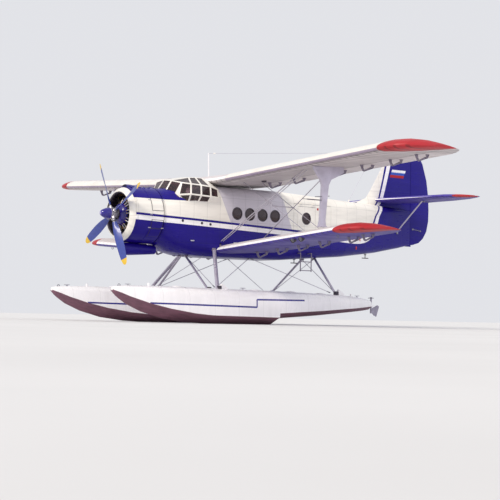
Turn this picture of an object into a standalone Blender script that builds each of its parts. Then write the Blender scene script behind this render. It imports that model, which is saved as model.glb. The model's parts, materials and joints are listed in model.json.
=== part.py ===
"""A single-engine utility biplane that stands on twin floats.

Run with: blender --background --python part.py

Every size is in metres. Places are written in the aircraft's own datum: station s runs aft
from the tip of the spinner, y runs to starboard (port is negative), and level h is counted
from the propeller's axis. at() turns them into world coordinates, with the nose towards -X,
the keels of the floats at Z = 0 and the origin under the middle of the aircraft.
"""

import math

import bmesh
import bpy
from mathutils import Matrix, Vector
from mathutils.bvhtree import BVHTree

# Driving dimensions of the whole aircraft
BOW_STATION = -0.55
TAIL_STATION = 12.74
THRUST_HEIGHT = 3.10
MIDDLE_STATION = (BOW_STATION + TAIL_STATION) / 2
SEAT_GAP = 0.0004
CURVED_SEAT_GAP = 0.0009
MOVING_GAP = 0.008
PORT, STARBOARD = -1, 1
SIDES = ((PORT, "left"), (STARBOARD, "right"))

# Engine bay and propeller
PROPELLER_STATION = 0.42
PROPELLER_RADIUS = 1.675
BLADE_COUNT = 4
SPINNER_RADIUS = 0.21
SPINNER_BACK = 0.55
COWL_RADIUS = 0.82
COWL_FRONT, COWL_BACK = 0.60, 1.66
COWL_WALL = 0.03
ENGINE_RADIUS = 0.68
CYLINDER_COUNT = 9
OIL_COOLER_RADIUS = 0.19

# Fuselage
FIREWALL = 1.72
WALL = 0.05
AFT_BULKHEAD = 8.60
RUDDER_HINGE = 11.90
RUDDER_NOSE = 0.058
RUDDER_FOOT = -0.38
HORN_FOOT = 2.36
HORN_FRONT = 11.46
STERNPOST = RUDDER_HINGE - RUDDER_NOSE - MOVING_GAP
CABIN_HALF_WIDTH = 0.88
ROOF = 0.97
BELLY = -1.13
FLOOR_LEVEL = -0.80
CREW_FLOOR_LEVEL = -0.76
CREW_FLOOR_BACK = 3.80
WINDOW_RADIUS = 0.165
WINDOW_LEVEL = 0.18
WINDOW_STATIONS = (4.20, 4.67, 5.14, 5.61)
DOOR_WINDOW_STATION = 6.88

# Cargo door in the port side, and the passenger door set into it
CARGO_DOOR = {"front": 6.36, "back": 7.92, "low": -0.72, "high": 0.62}
CREW_DOOR = {"front": 6.52, "back": 7.26, "low": -0.66, "high": 0.54}

# Wings
SECTION_THICKNESS = 0.14
SECTION_CAMBER = 0.035
CAMBER_PLACE = 0.4
UPPER = {"span": 9.09, "chord": 2.40, "lead": 3.35, "level": 1.06, "dihedral": 3.0, "root": 0.90}
LOWER = {"span": 7.12, "chord": 2.00, "lead": 3.50, "level": -1.00, "dihedral": 4.2, "root": 0.60}
HINGE_PLACE = 0.73
HINGE_DROP = 0.075
NOSE_ANGLE = math.radians(70)
HINGE_SEAT = 0.0003
SLIDE_AFT, SLIDE_UP = 0.96, 0.28
UPPER_FLAP = (1.45, 4.36)
AILERON = (4.40, 8.42)
LOWER_FLAP = (1.05, 6.42)
SLAT = (1.40, 8.10)
STRUT_Y = 5.28
UPPER_FLAP_HOOKS = (1.75, 2.90, 4.05)
AILERON_HOOKS = (4.75, 5.92, 7.08, 8.10)
LOWER_FLAP_HOOKS = (1.35, 2.33, 3.31, 4.29, 5.55, 6.15)
SLAT_RUNNERS = (2.20, 4.75, 7.40)

# Tail
TAILPLANE_LEVEL = 1.02
TAILPLANE_SPAN = 3.60
TAILPLANE_THICKNESS = 0.17
ELEVATOR_HINGE = 11.42
ELEVATOR_BACK = 12.16
ELEVATOR_ROOT = 0.27
FIN_HALF_THICKNESS = 0.065

# Floats
FLOAT_Y = 1.72
STEP_STATION = 4.85
STERN_STATION = 8.65
KEEL_HALF_WIDTH = 0.03


def at(s, y, h):
    """World position of a point given by station, side and level."""
    return Vector((s - MIDDLE_STATION, y, h + THRUST_HEIGHT))


def paint(name, colour, roughness=0.4, metallic=0.0):
    """A plain Principled material."""
    made = bpy.data.materials.new(name)
    made.use_nodes = True
    shader = made.node_tree.nodes["Principled BSDF"]
    shader.inputs["Base Color"].default_value = (*colour, 1.0)
    shader.inputs["Roughness"].default_value = roughness
    shader.inputs["Metallic"].default_value = metallic
    return made


def place(name, shape, finish, smooth_below=40):
    """Puts a finished bmesh into the scene as one named object."""
    bmesh.ops.remove_doubles(shape, verts=shape.verts, dist=1e-5)
    bmesh.ops.recalc_face_normals(shape, faces=shape.faces)
    mesh = bpy.data.meshes.new(name)
    shape.to_mesh(mesh)
    shape.free()
    mesh.materials.append(finish)
    mesh.shade_smooth()
    mesh.set_sharp_from_angle(angle=math.radians(smooth_below))
    obj = bpy.data.objects.new(name, mesh)
    bpy.context.scene.collection.objects.link(obj)
    return obj


def helper(name, shape):
    """A cutter or an added shape: it is in the scene, and is no part of the aircraft."""
    obj = place(name, shape, PAINTS["steel"])
    obj.hide_render = True
    obj.display_type = "WIRE"
    return obj


def combine(obj, operation, other):
    """A Boolean modifier on obj."""
    modifier = obj.modifiers.new(f"{operation.lower()} {other.name}", "BOOLEAN")
    modifier.operation = operation
    modifier.object = other
    return obj


def cut(obj, *cutters):
    for cutter in cutters:
        combine(obj, "DIFFERENCE", cutter)
    return obj


def join(obj, *others):
    for other in others:
        combine(obj, "UNION", other)
    return obj


def loft(sections):
    """A closed body through rings of points. Every ring has the same number of points."""
    shape = bmesh.new()
    rings = [[shape.verts.new(point) for point in section] for section in sections]
    for front, back in zip(rings, rings[1:]):
        for i in range(len(front)):
            j = (i + 1) % len(front)
            shape.faces.new((front[i], front[j], back[j], back[i]))
    shape.faces.new(rings[0])
    shape.faces.new(reversed(rings[-1]))
    return shape


def prism(outline, start, end):
    """An outline of (s, h) points swept from start(s, h) to end(s, h), two placing functions."""
    return loft([[start(s, h) for s, h in outline], [end(s, h) for s, h in outline]])


def block(low, high):
    """A box between two corners given by station, side and level."""
    shape = bmesh.new()
    bmesh.ops.create_cube(shape, size=1.0)
    corner, far = at(*low), at(*high)
    bmesh.ops.scale(shape, verts=shape.verts, vec=far - corner)
    bmesh.ops.translate(shape, verts=shape.verts, vec=(far + corner) / 2)
    return shape


def rod(start, end, radius, segments=8, squash=1.0):
    """A straight bar from start to end. squash below 1 makes it thinner across its run's side."""
    shape = bmesh.new()
    run = end - start
    bmesh.ops.create_cone(
        shape, cap_ends=True, segments=segments, radius1=radius, radius2=radius, depth=run.length
    )
    bmesh.ops.scale(shape, verts=shape.verts, vec=(1.0, squash, 1.0))
    aft = Vector((1, 0, 0))
    along = run.normalized()
    wide = (aft - along * aft.dot(along)).normalized() if abs(along.x) < 0.99 else Vector((0, 0, 1))
    turn = Matrix((wide, along.cross(wide), along)).transposed().to_4x4()
    bmesh.ops.transform(shape, matrix=Matrix.Translation((start + end) / 2) @ turn, verts=shape.verts)
    return shape


def turned(profile, segments, centre_level=0.0, centre_y=0.0):
    """A body turned about the fore and aft axis, from a closed profile of (s, radius) points."""
    shape = bmesh.new()
    points = [shape.verts.new(at(s, centre_y, centre_level + r)) for s, r in profile]
    ahead = list(range(1, len(points))) + [0]
    edges = [
        shape.edges.new((points[i], points[j])) for i, j in enumerate(ahead)
        if profile[i][1] > 0 or profile[j][1] > 0
    ]
    axis_point = at(0, centre_y, centre_level)
    bmesh.ops.spin(
        shape, geom=points + edges, cent=axis_point, axis=(1, 0, 0), angle=math.tau,
        steps=segments, use_merge=True,
    )
    bmesh.ops.remove_doubles(shape, verts=shape.verts, dist=1e-5)
    bmesh.ops.dissolve_degenerate(shape, dist=1e-5, edges=shape.edges)
    return shape


def face_met(solid, start, end):
    """The point and the outward normal where the line from start to end first meets a solid."""
    tree = BVHTree.FromObject(solid, bpy.context.evaluated_depsgraph_get())
    point, normal, _, _ = tree.ray_cast(start, (end - start).normalized())
    if point is None:
        raise ValueError(f"a strut misses {solid.name}")
    return point, normal if normal.dot(end - start) < 0 else -normal


def trim(shape, point, normal):
    """Cuts away what lies behind a plane, leaving the seat gap, and closes the cut."""
    everything = list(shape.verts) + list(shape.edges) + list(shape.faces)
    done = bmesh.ops.bisect_plane(
        shape, geom=everything, plane_co=point + normal * SEAT_GAP, plane_no=normal,
        clear_inner=True,
    )
    rim = [e for e in done["geom_cut"] if isinstance(e, bmesh.types.BMEdge)]
    bmesh.ops.edgeloop_fill(shape, edges=rim)
    return shape


def seated(shape, start, end, first, last):
    """A strut shape cut to seat on the solids at its two ends."""
    middle = (start + end) / 2
    trim(shape, *face_met(last, middle, end))
    trim(shape, *face_met(first, middle, start))
    return shape


# The wing section, as shares of the chord: place 0 is the leading edge and 1 the trailing edge


def half_thickness(place):
    falls = -0.1260 * place - 0.3516 * place**2 + 0.2843 * place**3 - 0.1036 * place**4
    return 5 * SECTION_THICKNESS * (0.2969 * math.sqrt(place) + falls)


def camber(place):
    if place < CAMBER_PLACE:
        return SECTION_CAMBER / CAMBER_PLACE**2 * (2 * CAMBER_PLACE * place - place**2)
    rest = (1 - CAMBER_PLACE) ** 2
    return SECTION_CAMBER / rest * (1 - 2 * CAMBER_PLACE + 2 * CAMBER_PLACE * place - place**2)


def top_of(place):
    return camber(place) + half_thickness(place)


def bottom_of(place):
    return camber(place) - half_thickness(place)


TOP_PLACES = (0.985, 0.86, 0.72, 0.56, 0.40, 0.28, 0.18, 0.10, 0.05, 0.02, 0.005)
BOTTOM_PLACES = (0.0, 0.008, 0.03, 0.09, 0.25, 0.50, 0.73, 0.985)


def section_outline():
    """The whole section, from the trailing edge over the top and back along the bottom."""
    over = [(place, top_of(place)) for place in TOP_PLACES]
    under = [(place, bottom_of(place)) for place in BOTTOM_PLACES]
    return [(1.0, 0.0015)] + over + under + [(1.0, -0.0015)]


def wing_point(wing, side, y, s_share, h_share, lead=0.0, chord_scale=1.0, thick_scale=1.0):
    """Place in the world of a point of the section at the side distance y."""
    s = wing["lead"] + lead + s_share * wing["chord"] * chord_scale
    h = wing["level"] + y * math.tan(math.radians(wing["dihedral"]))
    return at(s, side * y, h + h_share * wing["chord"] * thick_scale)


def hinge_of(wing):
    """The hinge line's station, its level over the leading edge, and the surface's nose radius."""
    s = HINGE_PLACE * wing["chord"]
    h = bottom_of(HINGE_PLACE) * wing["chord"] - HINGE_DROP
    thick = (top_of(HINGE_PLACE) - bottom_of(HINGE_PLACE)) * wing["chord"]
    return s, h, (HINGE_DROP + thick) / math.sin(NOSE_ANGLE)


def nose_arc(wing, radius, first_angle, last_angle, steps=5):
    """Points on an arc about the hinge line, as (s, h) offsets from the leading edge."""
    s, h, _ = hinge_of(wing)
    angles = [first_angle + (last_angle - first_angle) * i / steps for i in range(steps + 1)]
    return [(s - radius * math.cos(a), h + radius * math.sin(a)) for a in angles]


def bay_outline(wing):
    """What is cut out of a wing for a flap or an aileron."""
    _, _, radius = hinge_of(wing)
    arc = nose_arc(wing, radius + MOVING_GAP, math.radians(2), NOSE_ANGLE)
    lip_s, lip_h = arc[-1]
    beyond = wing["chord"] * 1.1
    low = arc[0][1] - 0.3
    return [(arc[0][0], low), *arc, (lip_s + 0.1, lip_h + 0.3), (beyond, lip_h + 0.3), (beyond, low)]


def surface_outline(wing):
    """The section of a flap or an aileron, with its nose turned about the hinge line."""
    chord = wing["chord"]
    hinge_s, hinge_h, radius = hinge_of(wing)
    low = bottom_of(HINGE_PLACE - 0.1) * chord - hinge_h
    arc = nose_arc(wing, radius, math.asin(low / radius), NOSE_ANGLE)
    over = [(place * chord, top_of(place) * chord) for place in (0.79, 0.88, 0.985)]
    under = [(place * chord, bottom_of(place) * chord) for place in (0.985, 0.85, HINGE_PLACE)]
    return arc + over + [(chord, 0.002), (chord, -0.002)] + under


def plates(frames, outline, start, end):
    """Flat plates of one outline. Each frame places (aft, up, along the hinge) offsets."""
    shape = bmesh.new()
    for frame in frames:
        near = [shape.verts.new(frame(s, h, start)) for s, h in outline]
        far = [shape.verts.new(frame(s, h, end)) for s, h in outline]
        for i in range(len(outline)):
            j = (i + 1) % len(outline)
            shape.faces.new((near[i], near[j], far[j], far[i]))
        shape.faces.new(near)
        shape.faces.new(reversed(far))
    return shape


def hinge_frame(wing, side, y):
    """Places an offset from the hinge line of a wing surface, square to that line."""
    tilt = math.radians(wing["dihedral"])
    s, h, _ = hinge_of(wing)
    origin = at(wing["lead"] + s, side * y, wing["level"] + y * math.tan(tilt) + h)
    up = Vector((0, -side * math.sin(tilt), math.cos(tilt)))
    along = Vector((0, side * math.cos(tilt), math.sin(tilt)))
    return lambda aft, rise, out: origin + Vector((aft, 0, 0)) + up * rise + along * out


def hook_outline(wing):
    """The bracket under a wing, which reaches back to the hinge line."""
    _, _, radius = hinge_of(wing)
    return (
        (-radius - 0.17, HINGE_DROP + 0.03), (-radius - 0.03, HINGE_DROP + 0.03), (-radius - 0.03, -0.030),
        (-radius + 0.01, -0.088), (-0.030, 0.020), (0.0, 0.034), (0.030, 0.012), (0.028, -0.022),
        (0.0, -0.036), (-radius, -0.130), (-radius - 0.06, -0.110),
    )


LUG_OUTLINE = (
    (-0.070, HINGE_DROP + 0.02), (-0.034, -0.008), (-0.014, -0.032), (0.014, -0.032), (0.034, -0.008), (0.085, HINGE_DROP + 0.02),
)
HOOK_THICKNESS = 0.020


def add_hooks(wing, side, y_places, fixed, moving):
    """Brackets on the fixed wing and lugs on the moving surface, side by side on the hinge line."""
    frames = [hinge_frame(wing, side, y) for y in y_places]
    hooks = plates(frames, hook_outline(wing), -HOOK_THICKNESS, 0.0)
    lugs = plates(frames, LUG_OUTLINE, HINGE_SEAT, HOOK_THICKNESS)
    join(fixed, helper(f"hooks_{moving.name}", hooks))
    join(moving, helper(f"lugs_{moving.name}", lugs))


def runner_frame(side, y):
    """Places an offset along the slat's slide, from a point inside the slat."""
    rise = y * math.tan(math.radians(UPPER["dihedral"]))
    origin = at(UPPER["lead"] + 0.075, side * y, UPPER["level"] + rise + 0.022)
    aft = Vector((SLIDE_AFT, 0, SLIDE_UP)).normalized()
    up = Vector((-aft.z, 0, aft.x))
    return lambda back, rise, out: origin + aft * back + up * rise + Vector((0, out, 0))


def runner_outline(length, half):
    return ((0.0, -half), (length, -half), (length, half), (0.0, half))


def spread(wing, side, y_start, y_end, outline, square_at=None):
    """An outline of (s, h) offsets from the leading edge, swept along the span.

    With square_at, the ends are square to the line along the span at that level.
    """
    tilt = math.radians(wing["dihedral"])

    def placed(y_end_place):
        def point(s, h):
            y = y_end_place
            if square_at is not None:
                y -= (h - square_at) * math.sin(tilt) * math.cos(tilt)
            return at(wing["lead"] + s, side * y, wing["level"] + y * math.tan(tilt) + h)

        return point

    return prism(outline, placed(y_start), placed(y_end))


def swung(wing, side, reach, outline, gap=0.0):
    """A surface that swings about the wing's hinge line, or the bay for one."""
    start, end = reach
    return spread(wing, side, start - gap, end + gap, outline, hinge_of(wing)[1])


def slat_curve(drop):
    """The back of the slat, from its lower edge to its upper edge, moved aft and in by drop."""
    chord = UPPER["chord"]
    shares = ((0.020, bottom_of(0.020)), (0.040, 0.000), (0.075, 0.050), (0.135, top_of(0.135) - 0.003))
    moved = [(s * chord + drop, h * chord - drop * 0.9) for s, h in shares]
    if drop:
        moved[0] = (moved[0][0], moved[0][1] - 0.05)
    return moved


def slat_outline():
    chord = UPPER["chord"]
    upper_skin = [(p * chord, top_of(p) * chord) for p in (0.135, 0.10, 0.06, 0.03, 0.01, 0.0)]
    return slat_curve(0.0) + upper_skin + [(0.006 * chord, bottom_of(0.006) * chord)]


def slat_bay_outline():
    curve = slat_curve(MOVING_GAP)
    return curve + [(curve[-1][0], 0.30), (-0.2, 0.30), (-0.2, curve[0][1])]


# Plan of a wing tip: how far out, what the leading and trailing edges give up, and thickness
TIP_ROWS = (
    # out from the start, lead moved aft, chord share, thickness share
    (0.00, 0.00, 1.00, 1.00),
    (0.30, 0.10, 0.920, 0.92),
    (0.55, 0.32, 0.770, 0.72),
    (0.70, 0.66, 0.570, 0.46),
    (0.77, 1.02, 0.370, 0.24),
)


def wing(name, data, side, finish):
    """One outer wing panel, whole, before its bays are cut."""
    tip_start = data["span"] - TIP_ROWS[-1][0]
    scale = data["chord"] / UPPER["chord"]
    rows = [(data["root"], 0.0, 1.0, 1.0)]
    rows += [(tip_start + out, lead * scale, share, thick) for out, lead, share, thick in TIP_ROWS]
    sections = [
        [wing_point(data, side, y, s, h, lead, share, thick) for s, h in section_outline()]
        for y, lead, share, thick in rows
    ]
    return place(name, loft(sections), finish)


def rounded_ring(s, half_width, low, high, low_radius, high_radius, grow=0.0):
    """A ring round the fuselage: a rectangle with its corners rounded, six points to a corner."""
    half_width, low, high = half_width + grow, low - grow, high + grow
    low_radius, high_radius = low_radius + grow, high_radius + grow
    corners = (
        (half_width - high_radius, high - high_radius, high_radius, 0),
        (-half_width + high_radius, high - high_radius, high_radius, 90),
        (-half_width + low_radius, low + low_radius, low_radius, 180),
        (half_width - low_radius, low + low_radius, low_radius, 270),
    )
    ring = []
    for y, h, radius, first in corners:
        for step in range(CORNER_STEPS + 1):
            angle = math.radians(first + 90 * step / CORNER_STEPS)
            ring.append(at(s, y + radius * math.cos(angle), h + radius * math.sin(angle)))
    return ring


CORNER_STEPS = 5
FUSELAGE_ROWS = (
    # station, half width, belly level, roof level, lower corner radius, upper corner radius
    (FIREWALL, 0.800, -0.80, 0.800, 0.799, 0.799),
    (2.15, 0.835, -1.00, 0.850, 0.62, 0.66),
    (2.70, 0.870, -1.09, 0.920, 0.44, 0.46),
    (3.30, CABIN_HALF_WIDTH, BELLY, ROOF, 0.36, 0.34),
    (6.00, CABIN_HALF_WIDTH, BELLY, ROOF, 0.36, 0.34),
    (AFT_BULKHEAD, 0.660, -0.92, 0.880, 0.34, 0.34),
)
TAIL_ROWS = (
    (AFT_BULKHEAD, 0.660, -0.92, 0.880, 0.34, 0.34),
    (10.20, 0.400, -0.72, 0.840, 0.26, 0.26),
    (11.30, 0.190, -0.52, 0.800, 0.16, 0.16),
    (STERNPOST, 0.075, -0.40, 0.760, 0.06, 0.06),
)


def tube(rows, grow):
    """The fuselage's outside, in triangles that run the same way in every copy of it."""
    shape = loft([rounded_ring(*row, grow) for row in rows])
    quads = [face for face in shape.faces if len(face.verts) == 4]
    bmesh.ops.triangulate(shape, faces=quads, quad_method="FIXED")
    return shape


def side_y(s):
    """The cabin side's distance from the middle at a station aft of the wing."""
    front, back = FUSELAGE_ROWS[-2], FUSELAGE_ROWS[-1]
    share = max(0.0, (s - front[0]) / (back[0] - front[0]))
    return front[1] + (back[1] - front[1]) * share


def cabin_shell(name, finish):
    """The hollow fuselage from the firewall to the aft bulkhead, with no openings yet."""
    hollow_rows = [list(row) for row in FUSELAGE_ROWS]
    hollow_rows[0][0] += WALL
    hollow_rows[-1][0] -= WALL
    shell = place(name, tube(FUSELAGE_ROWS, 0.0), finish)
    return cut(shell, helper(f"{name}_hollow", tube(hollow_rows, -WALL)))


def porthole(name, side, s):
    reach = side_y(s)
    start, end = at(s, side * (reach - 0.2), WINDOW_LEVEL), at(s, side * (reach + 0.2), WINDOW_LEVEL)
    return helper(name, rod(start, end, WINDOW_RADIUS, 20))


def door_block(name, door, gap):
    low = (door["front"] - gap, -1.2, door["low"] - gap)
    high = (door["back"] + gap, -0.4, door["high"] + gap)
    return helper(name, block(low, high))


def build_fuselage():
    shell = cabin_shell("fuselage_shell", PAINTS["white"])
    cockpit = helper("cockpit_cutter", block((2.16, -0.80, 0.56), (3.56, 0.80, 1.5)))
    side_glass = helper("side_glass_cutter", block((2.56, -1.0, 0.50), (3.38, 1.0, 1.5)))
    cut(shell, cockpit, side_glass, door_block("cargo_cutter", CARGO_DOOR, MOVING_GAP))
    for side, word in SIDES:
        stations = WINDOW_STATIONS + ((DOOR_WINDOW_STATION,) if side == STARBOARD else ())
        for number, s in enumerate(stations):
            cut(shell, porthole(f"window_cutter_{word}_{number}", side, s))

    cargo = cabin_shell("cargo_door", PAINTS["white"])
    combine(cargo, "INTERSECT", door_block("cargo_block", CARGO_DOOR, 0.0))
    cut(cargo, door_block("crew_cutter", CREW_DOOR, MOVING_GAP))
    crew = cabin_shell("passenger_door", PAINTS["white"])
    combine(crew, "INTERSECT", door_block("crew_block", CREW_DOOR, 0.0))
    cut(crew, porthole("door_window_cutter", PORT, DOOR_WINDOW_STATION))

    add_door_hinges(shell, cargo, crew)
    tail_rows = [list(row) for row in TAIL_ROWS]
    tail_rows[0][0] += SEAT_GAP
    tail = place("tail_cone", tube(tail_rows, 0.0), PAINTS["blue"])
    hollow_rows = [list(row) for row in TAIL_ROWS[:3]]
    hollow_rows[0][0] -= 0.10
    cut(tail, helper("tail_hollow", tube(hollow_rows, -WALL)))
    heel = block((STERNPOST - 0.12, -0.03, -0.440), (RUDDER_HINGE + 0.03, 0.03, RUDDER_FOOT - SEAT_GAP))
    join(tail, helper("rudder_heel", heel))
    return shell


def door_frame(s, h, inset):
    """Places (aft along the wall, up, outwards) offsets from a point of the port wall's hinge."""
    slope = (FUSELAGE_ROWS[-2][1] - FUSELAGE_ROWS[-1][1]) / (FUSELAGE_ROWS[-1][0] - FUSELAGE_ROWS[-2][0])
    along = Vector((1, slope, 0)).normalized()
    outwards = Vector((slope, -1, 0)).normalized()
    origin = at(s, -side_y(s), h) + outwards * inset
    return lambda aft, rise, out: origin + along * aft + Vector((0, 0, rise)) + outwards * out


def knuckle(frame, axis, start, end, leaf_low, leaf_high):
    """A hinge barrel from start to end along its axis, with the leaf that ties it to its panel."""
    ends = [frame(*(step if i == axis else 0.0 for i in range(3))) for step in (start, end)]
    barrel = rod(ends[0], ends[1], KNUCKLE_RADIUS, 10)
    leaf = bmesh.new()
    corners = [
        leaf.verts.new(frame(a, u, o))
        for a in (leaf_low[0], leaf_high[0]) for u in (leaf_low[1], leaf_high[1]) for o in (leaf_low[2], leaf_high[2])
    ]
    for face in ((0, 1, 3, 2), (4, 6, 7, 5), (0, 4, 5, 1), (2, 3, 7, 6), (0, 2, 6, 4), (1, 5, 7, 3)):
        leaf.faces.new([corners[i] for i in face])
    return barrel, leaf


KNUCKLE_RADIUS = 0.011
KNUCKLE_OFFSET = 0.012
CARGO_HINGES = (6.62, 7.14, 7.66)
CREW_HINGES = (-0.40, 0.30)


def add_door_hinges(shell, cargo, crew):
    for number, s in enumerate(CARGO_HINGES):
        frame = door_frame(s, CARGO_DOOR["high"], KNUCKLE_OFFSET)
        sets = (
            (cargo, -0.050, -HINGE_SEAT, (-0.047, -0.055, -0.035), (-0.003, -0.002, 0.004)),
            (shell, 0.0, 0.050, (0.003, 0.004, -0.035), (0.047, 0.055, 0.004)),
        )
        for panel, start, end, low, high in sets:
            parts = knuckle(frame, 0, start, end, low, high)
            join(panel, *(helper(f"{panel.name}_knuckle_{number}_{k}", part) for k, part in enumerate(parts)))
    for number, h in enumerate(CREW_HINGES):
        frame = door_frame(CREW_DOOR["front"], h, -WALL - KNUCKLE_OFFSET)
        sets = (
            (crew, -0.050, -HINGE_SEAT, (0.002, -0.047, -0.004), (0.055, -0.003, 0.035)),
            (cargo, 0.0, 0.050, (-0.055, 0.003, -0.004), (-0.004, 0.047, 0.035)),
        )
        for panel, start, end, low, high in sets:
            parts = knuckle(frame, 1, start, end, low, high)
            join(panel, *(helper(f"{panel.name}_crew_knuckle_{number}_{k}", part) for k, part in enumerate(parts)))


CANOPY_ROWS = (
    # (station, side, level) of each point from the middle of the roof down to the sill
    ((1.92, 0.00, 0.780), (1.97, 0.36, 0.730), (2.12, 0.62, 0.580), (2.24, 0.76, 0.470), (2.34, 0.80, 0.36)),
    ((2.15, 0.00, 1.100), (2.15, 0.40, 1.060), (2.30, 0.72, 0.990), (2.20, 0.73, 0.620), (2.38, 0.80, 0.40)),
    ((2.74, 0.00, 1.215), (2.70, 0.48, 1.180), (2.54, 0.86, 0.960), (2.46, 0.99, 0.640), (2.48, 0.83, 0.42)),
    ((2.94, 0.00, 1.230), (2.92, 0.50, 1.195), (2.87, 0.90, 0.945), (2.82, 1.00, 0.625), (2.80, 0.86, 0.43)),
    ((3.14, 0.00, 1.225), (3.15, 0.50, 1.190), (3.20, 0.90, 0.920), (3.16, 1.00, 0.610), (3.14, 0.86, 0.43)),
    ((3.28, 0.00, 1.210), (3.27, 0.50, 1.170), (3.49, 0.87, 0.855), (3.46, 0.965, 0.595), (3.45, 0.86, 0.43)),
    ((3.32, 0.00, 0.900), (3.32, 0.50, 0.900), (3.515, 0.80, 0.780), (3.50, 0.84, 0.600), (3.48, 0.80, 0.42)),
)
FRAME_THICKNESS = 0.024
FRAME_WIDTH = 0.026
# Which panes each bay of the canopy has, counted from the port sill over the roof to the starboard sill
CANOPY_PANES = ((2, 3, 4, 5), (0, 1, 2, 5, 6, 7), (0, 1, 2, 5, 6, 7), (0, 1, 2, 5, 6, 7), (1, 6))


def canopy_grid():
    """The canopy's rows as world points, from the port sill over the roof to the starboard sill."""
    grid = []
    for row in CANOPY_ROWS:
        half = [at(s, y, h) for s, y, h in row]
        grid.append([Vector((p.x, -p.y, p.z)) for p in reversed(half[1:])] + half)
    return grid


def pane_normal(grid, i, j):
    diagonal = grid[i + 1][j + 1] - grid[i][j]
    normal = diagonal.cross(grid[i][j + 1] - grid[i + 1][j]).normalized()
    return normal if normal.dot(grid[i][j] - at(2.9, 0, 0.3)) > 0 else -normal


def moved_in(grid, depth):
    """The same rows with every point moved inwards along the mean of its faces' normals."""
    rows, columns = len(grid) - 1, len(grid[0]) - 1
    inner = []
    for i in range(rows + 1):
        ring = []
        for j in range(columns + 1):
            near = [
                pane_normal(grid, a, b) for a in (i - 1, i) for b in (j - 1, j)
                if 0 <= a < rows and 0 <= b < columns
            ]
            ring.append(grid[i][j] - sum(near, Vector()).normalized() * depth)
        inner.append(ring)
    return inner


def window_prism(grid, i, j, width):
    """A prism through the canopy inside the frame of one of its faces."""
    corners = (grid[i][j], grid[i + 1][j], grid[i + 1][j + 1], grid[i][j + 1])
    middle = sum(corners, Vector()) / 4
    normal = pane_normal(grid, i, j)
    drawn_in = []
    for k, corner in enumerate(corners):
        to_next = (corners[(k + 1) % 4] - corner).normalized()
        to_last = (corners[k - 1] - corner).normalized()
        lean = max(0.2, math.sqrt(max(0.0, 1 - to_next.dot(to_last) ** 2)))
        drawn_in.append(corner + (to_next + to_last) * (width / lean))
    flat = [p - normal * normal.dot(p - middle) for p in drawn_in]
    return [p + normal * 0.05 for p in flat], [p - normal * 0.045 for p in flat]


def flat_faced(shape):
    """The shape in triangles. A bent four-sided face is cut askew, and one cut more then empties the body."""
    bmesh.ops.triangulate(shape, faces=shape.faces)
    return shape


def build_canopy():
    grid = canopy_grid()
    frame = place("canopy_frame", flat_faced(loft(grid)), PAINTS["white"])
    cut(frame, helper("canopy_seat_cutter", flat_faced(tube(FUSELAGE_ROWS, CURVED_SEAT_GAP))))
    cut(frame, helper("canopy_hollow", flat_faced(loft(moved_in(grid, FRAME_THICKNESS)))))
    # One window at a time: neighbours meet inside the corner bars, and a body that crosses itself can't be cut with
    for i, panes in enumerate(CANOPY_PANES):
        for j in panes:
            cut(frame, helper(f"canopy_window_{i}_{j}", loft(window_prism(grid, i, j, FRAME_WIDTH))))


def build_cockpit():
    """Floor, the bulkhead behind the crew, two seats, and the instrument panel."""
    inside_rows = [list(row) for row in FUSELAGE_ROWS]
    inside_rows[0][0] += WALL + SEAT_GAP
    inside_rows[-1][0] -= WALL + SEAT_GAP
    inside = helper("cabin_inside", tube(inside_rows, -WALL - SEAT_GAP))
    floor_shape = block((2.0, -1.0, FLOOR_LEVEL - 0.04), (8.50, 1.0, FLOOR_LEVEL))
    floor = place("cabin_floor", floor_shape, PAINTS["grey"])
    crew_floor = block((2.0, -1.0, FLOOR_LEVEL - 0.02), (CREW_FLOOR_BACK, 1.0, CREW_FLOOR_LEVEL))
    join(floor, helper("crew_floor", crew_floor))
    for number, s in enumerate((2.6, 4.0, 5.4, 6.8)):
        beam = block((s, -0.80, -1.3), (s + 0.06, 0.80, FLOOR_LEVEL - 0.02))
        join(floor, helper(f"floor_beam_{number}", beam))
    combine(floor, "INTERSECT", inside)
    bulkhead = place(
        "cockpit_bulkhead", block((3.72, -1.0, CREW_FLOOR_LEVEL + SEAT_GAP), (3.76, 1.0, 1.3)), PAINTS["grey"]
    )
    combine(bulkhead, "INTERSECT", inside)
    cut(bulkhead, helper("doorway_cutter", block((3.6, -0.28, -1.2), (3.9, 0.28, 0.46))))
    for side, word in SIDES:
        y = side * 0.42
        seat = place(
            f"pilot_seat_{word}",
            block((2.98, y - 0.22, CREW_FLOOR_LEVEL + SEAT_GAP), (3.42, y + 0.22, -0.36)), PAINTS["leather"],
        )
        back = block((3.36, y - 0.22, -0.40), (3.48, y + 0.22, 0.46))
        join(seat, helper(f"seat_back_{word}", back))
    panel = place("instrument_panel", block((2.28, -0.66, 0.10), (2.34, 0.66, 0.54)), PAINTS["dark"])
    for side, word in SIDES:
        leg = block((2.285, side * 0.5 - 0.03, CREW_FLOOR_LEVEL + SEAT_GAP), (2.335, side * 0.5 + 0.03, 0.2))
        join(panel, helper(f"panel_leg_{word}", leg))


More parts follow.
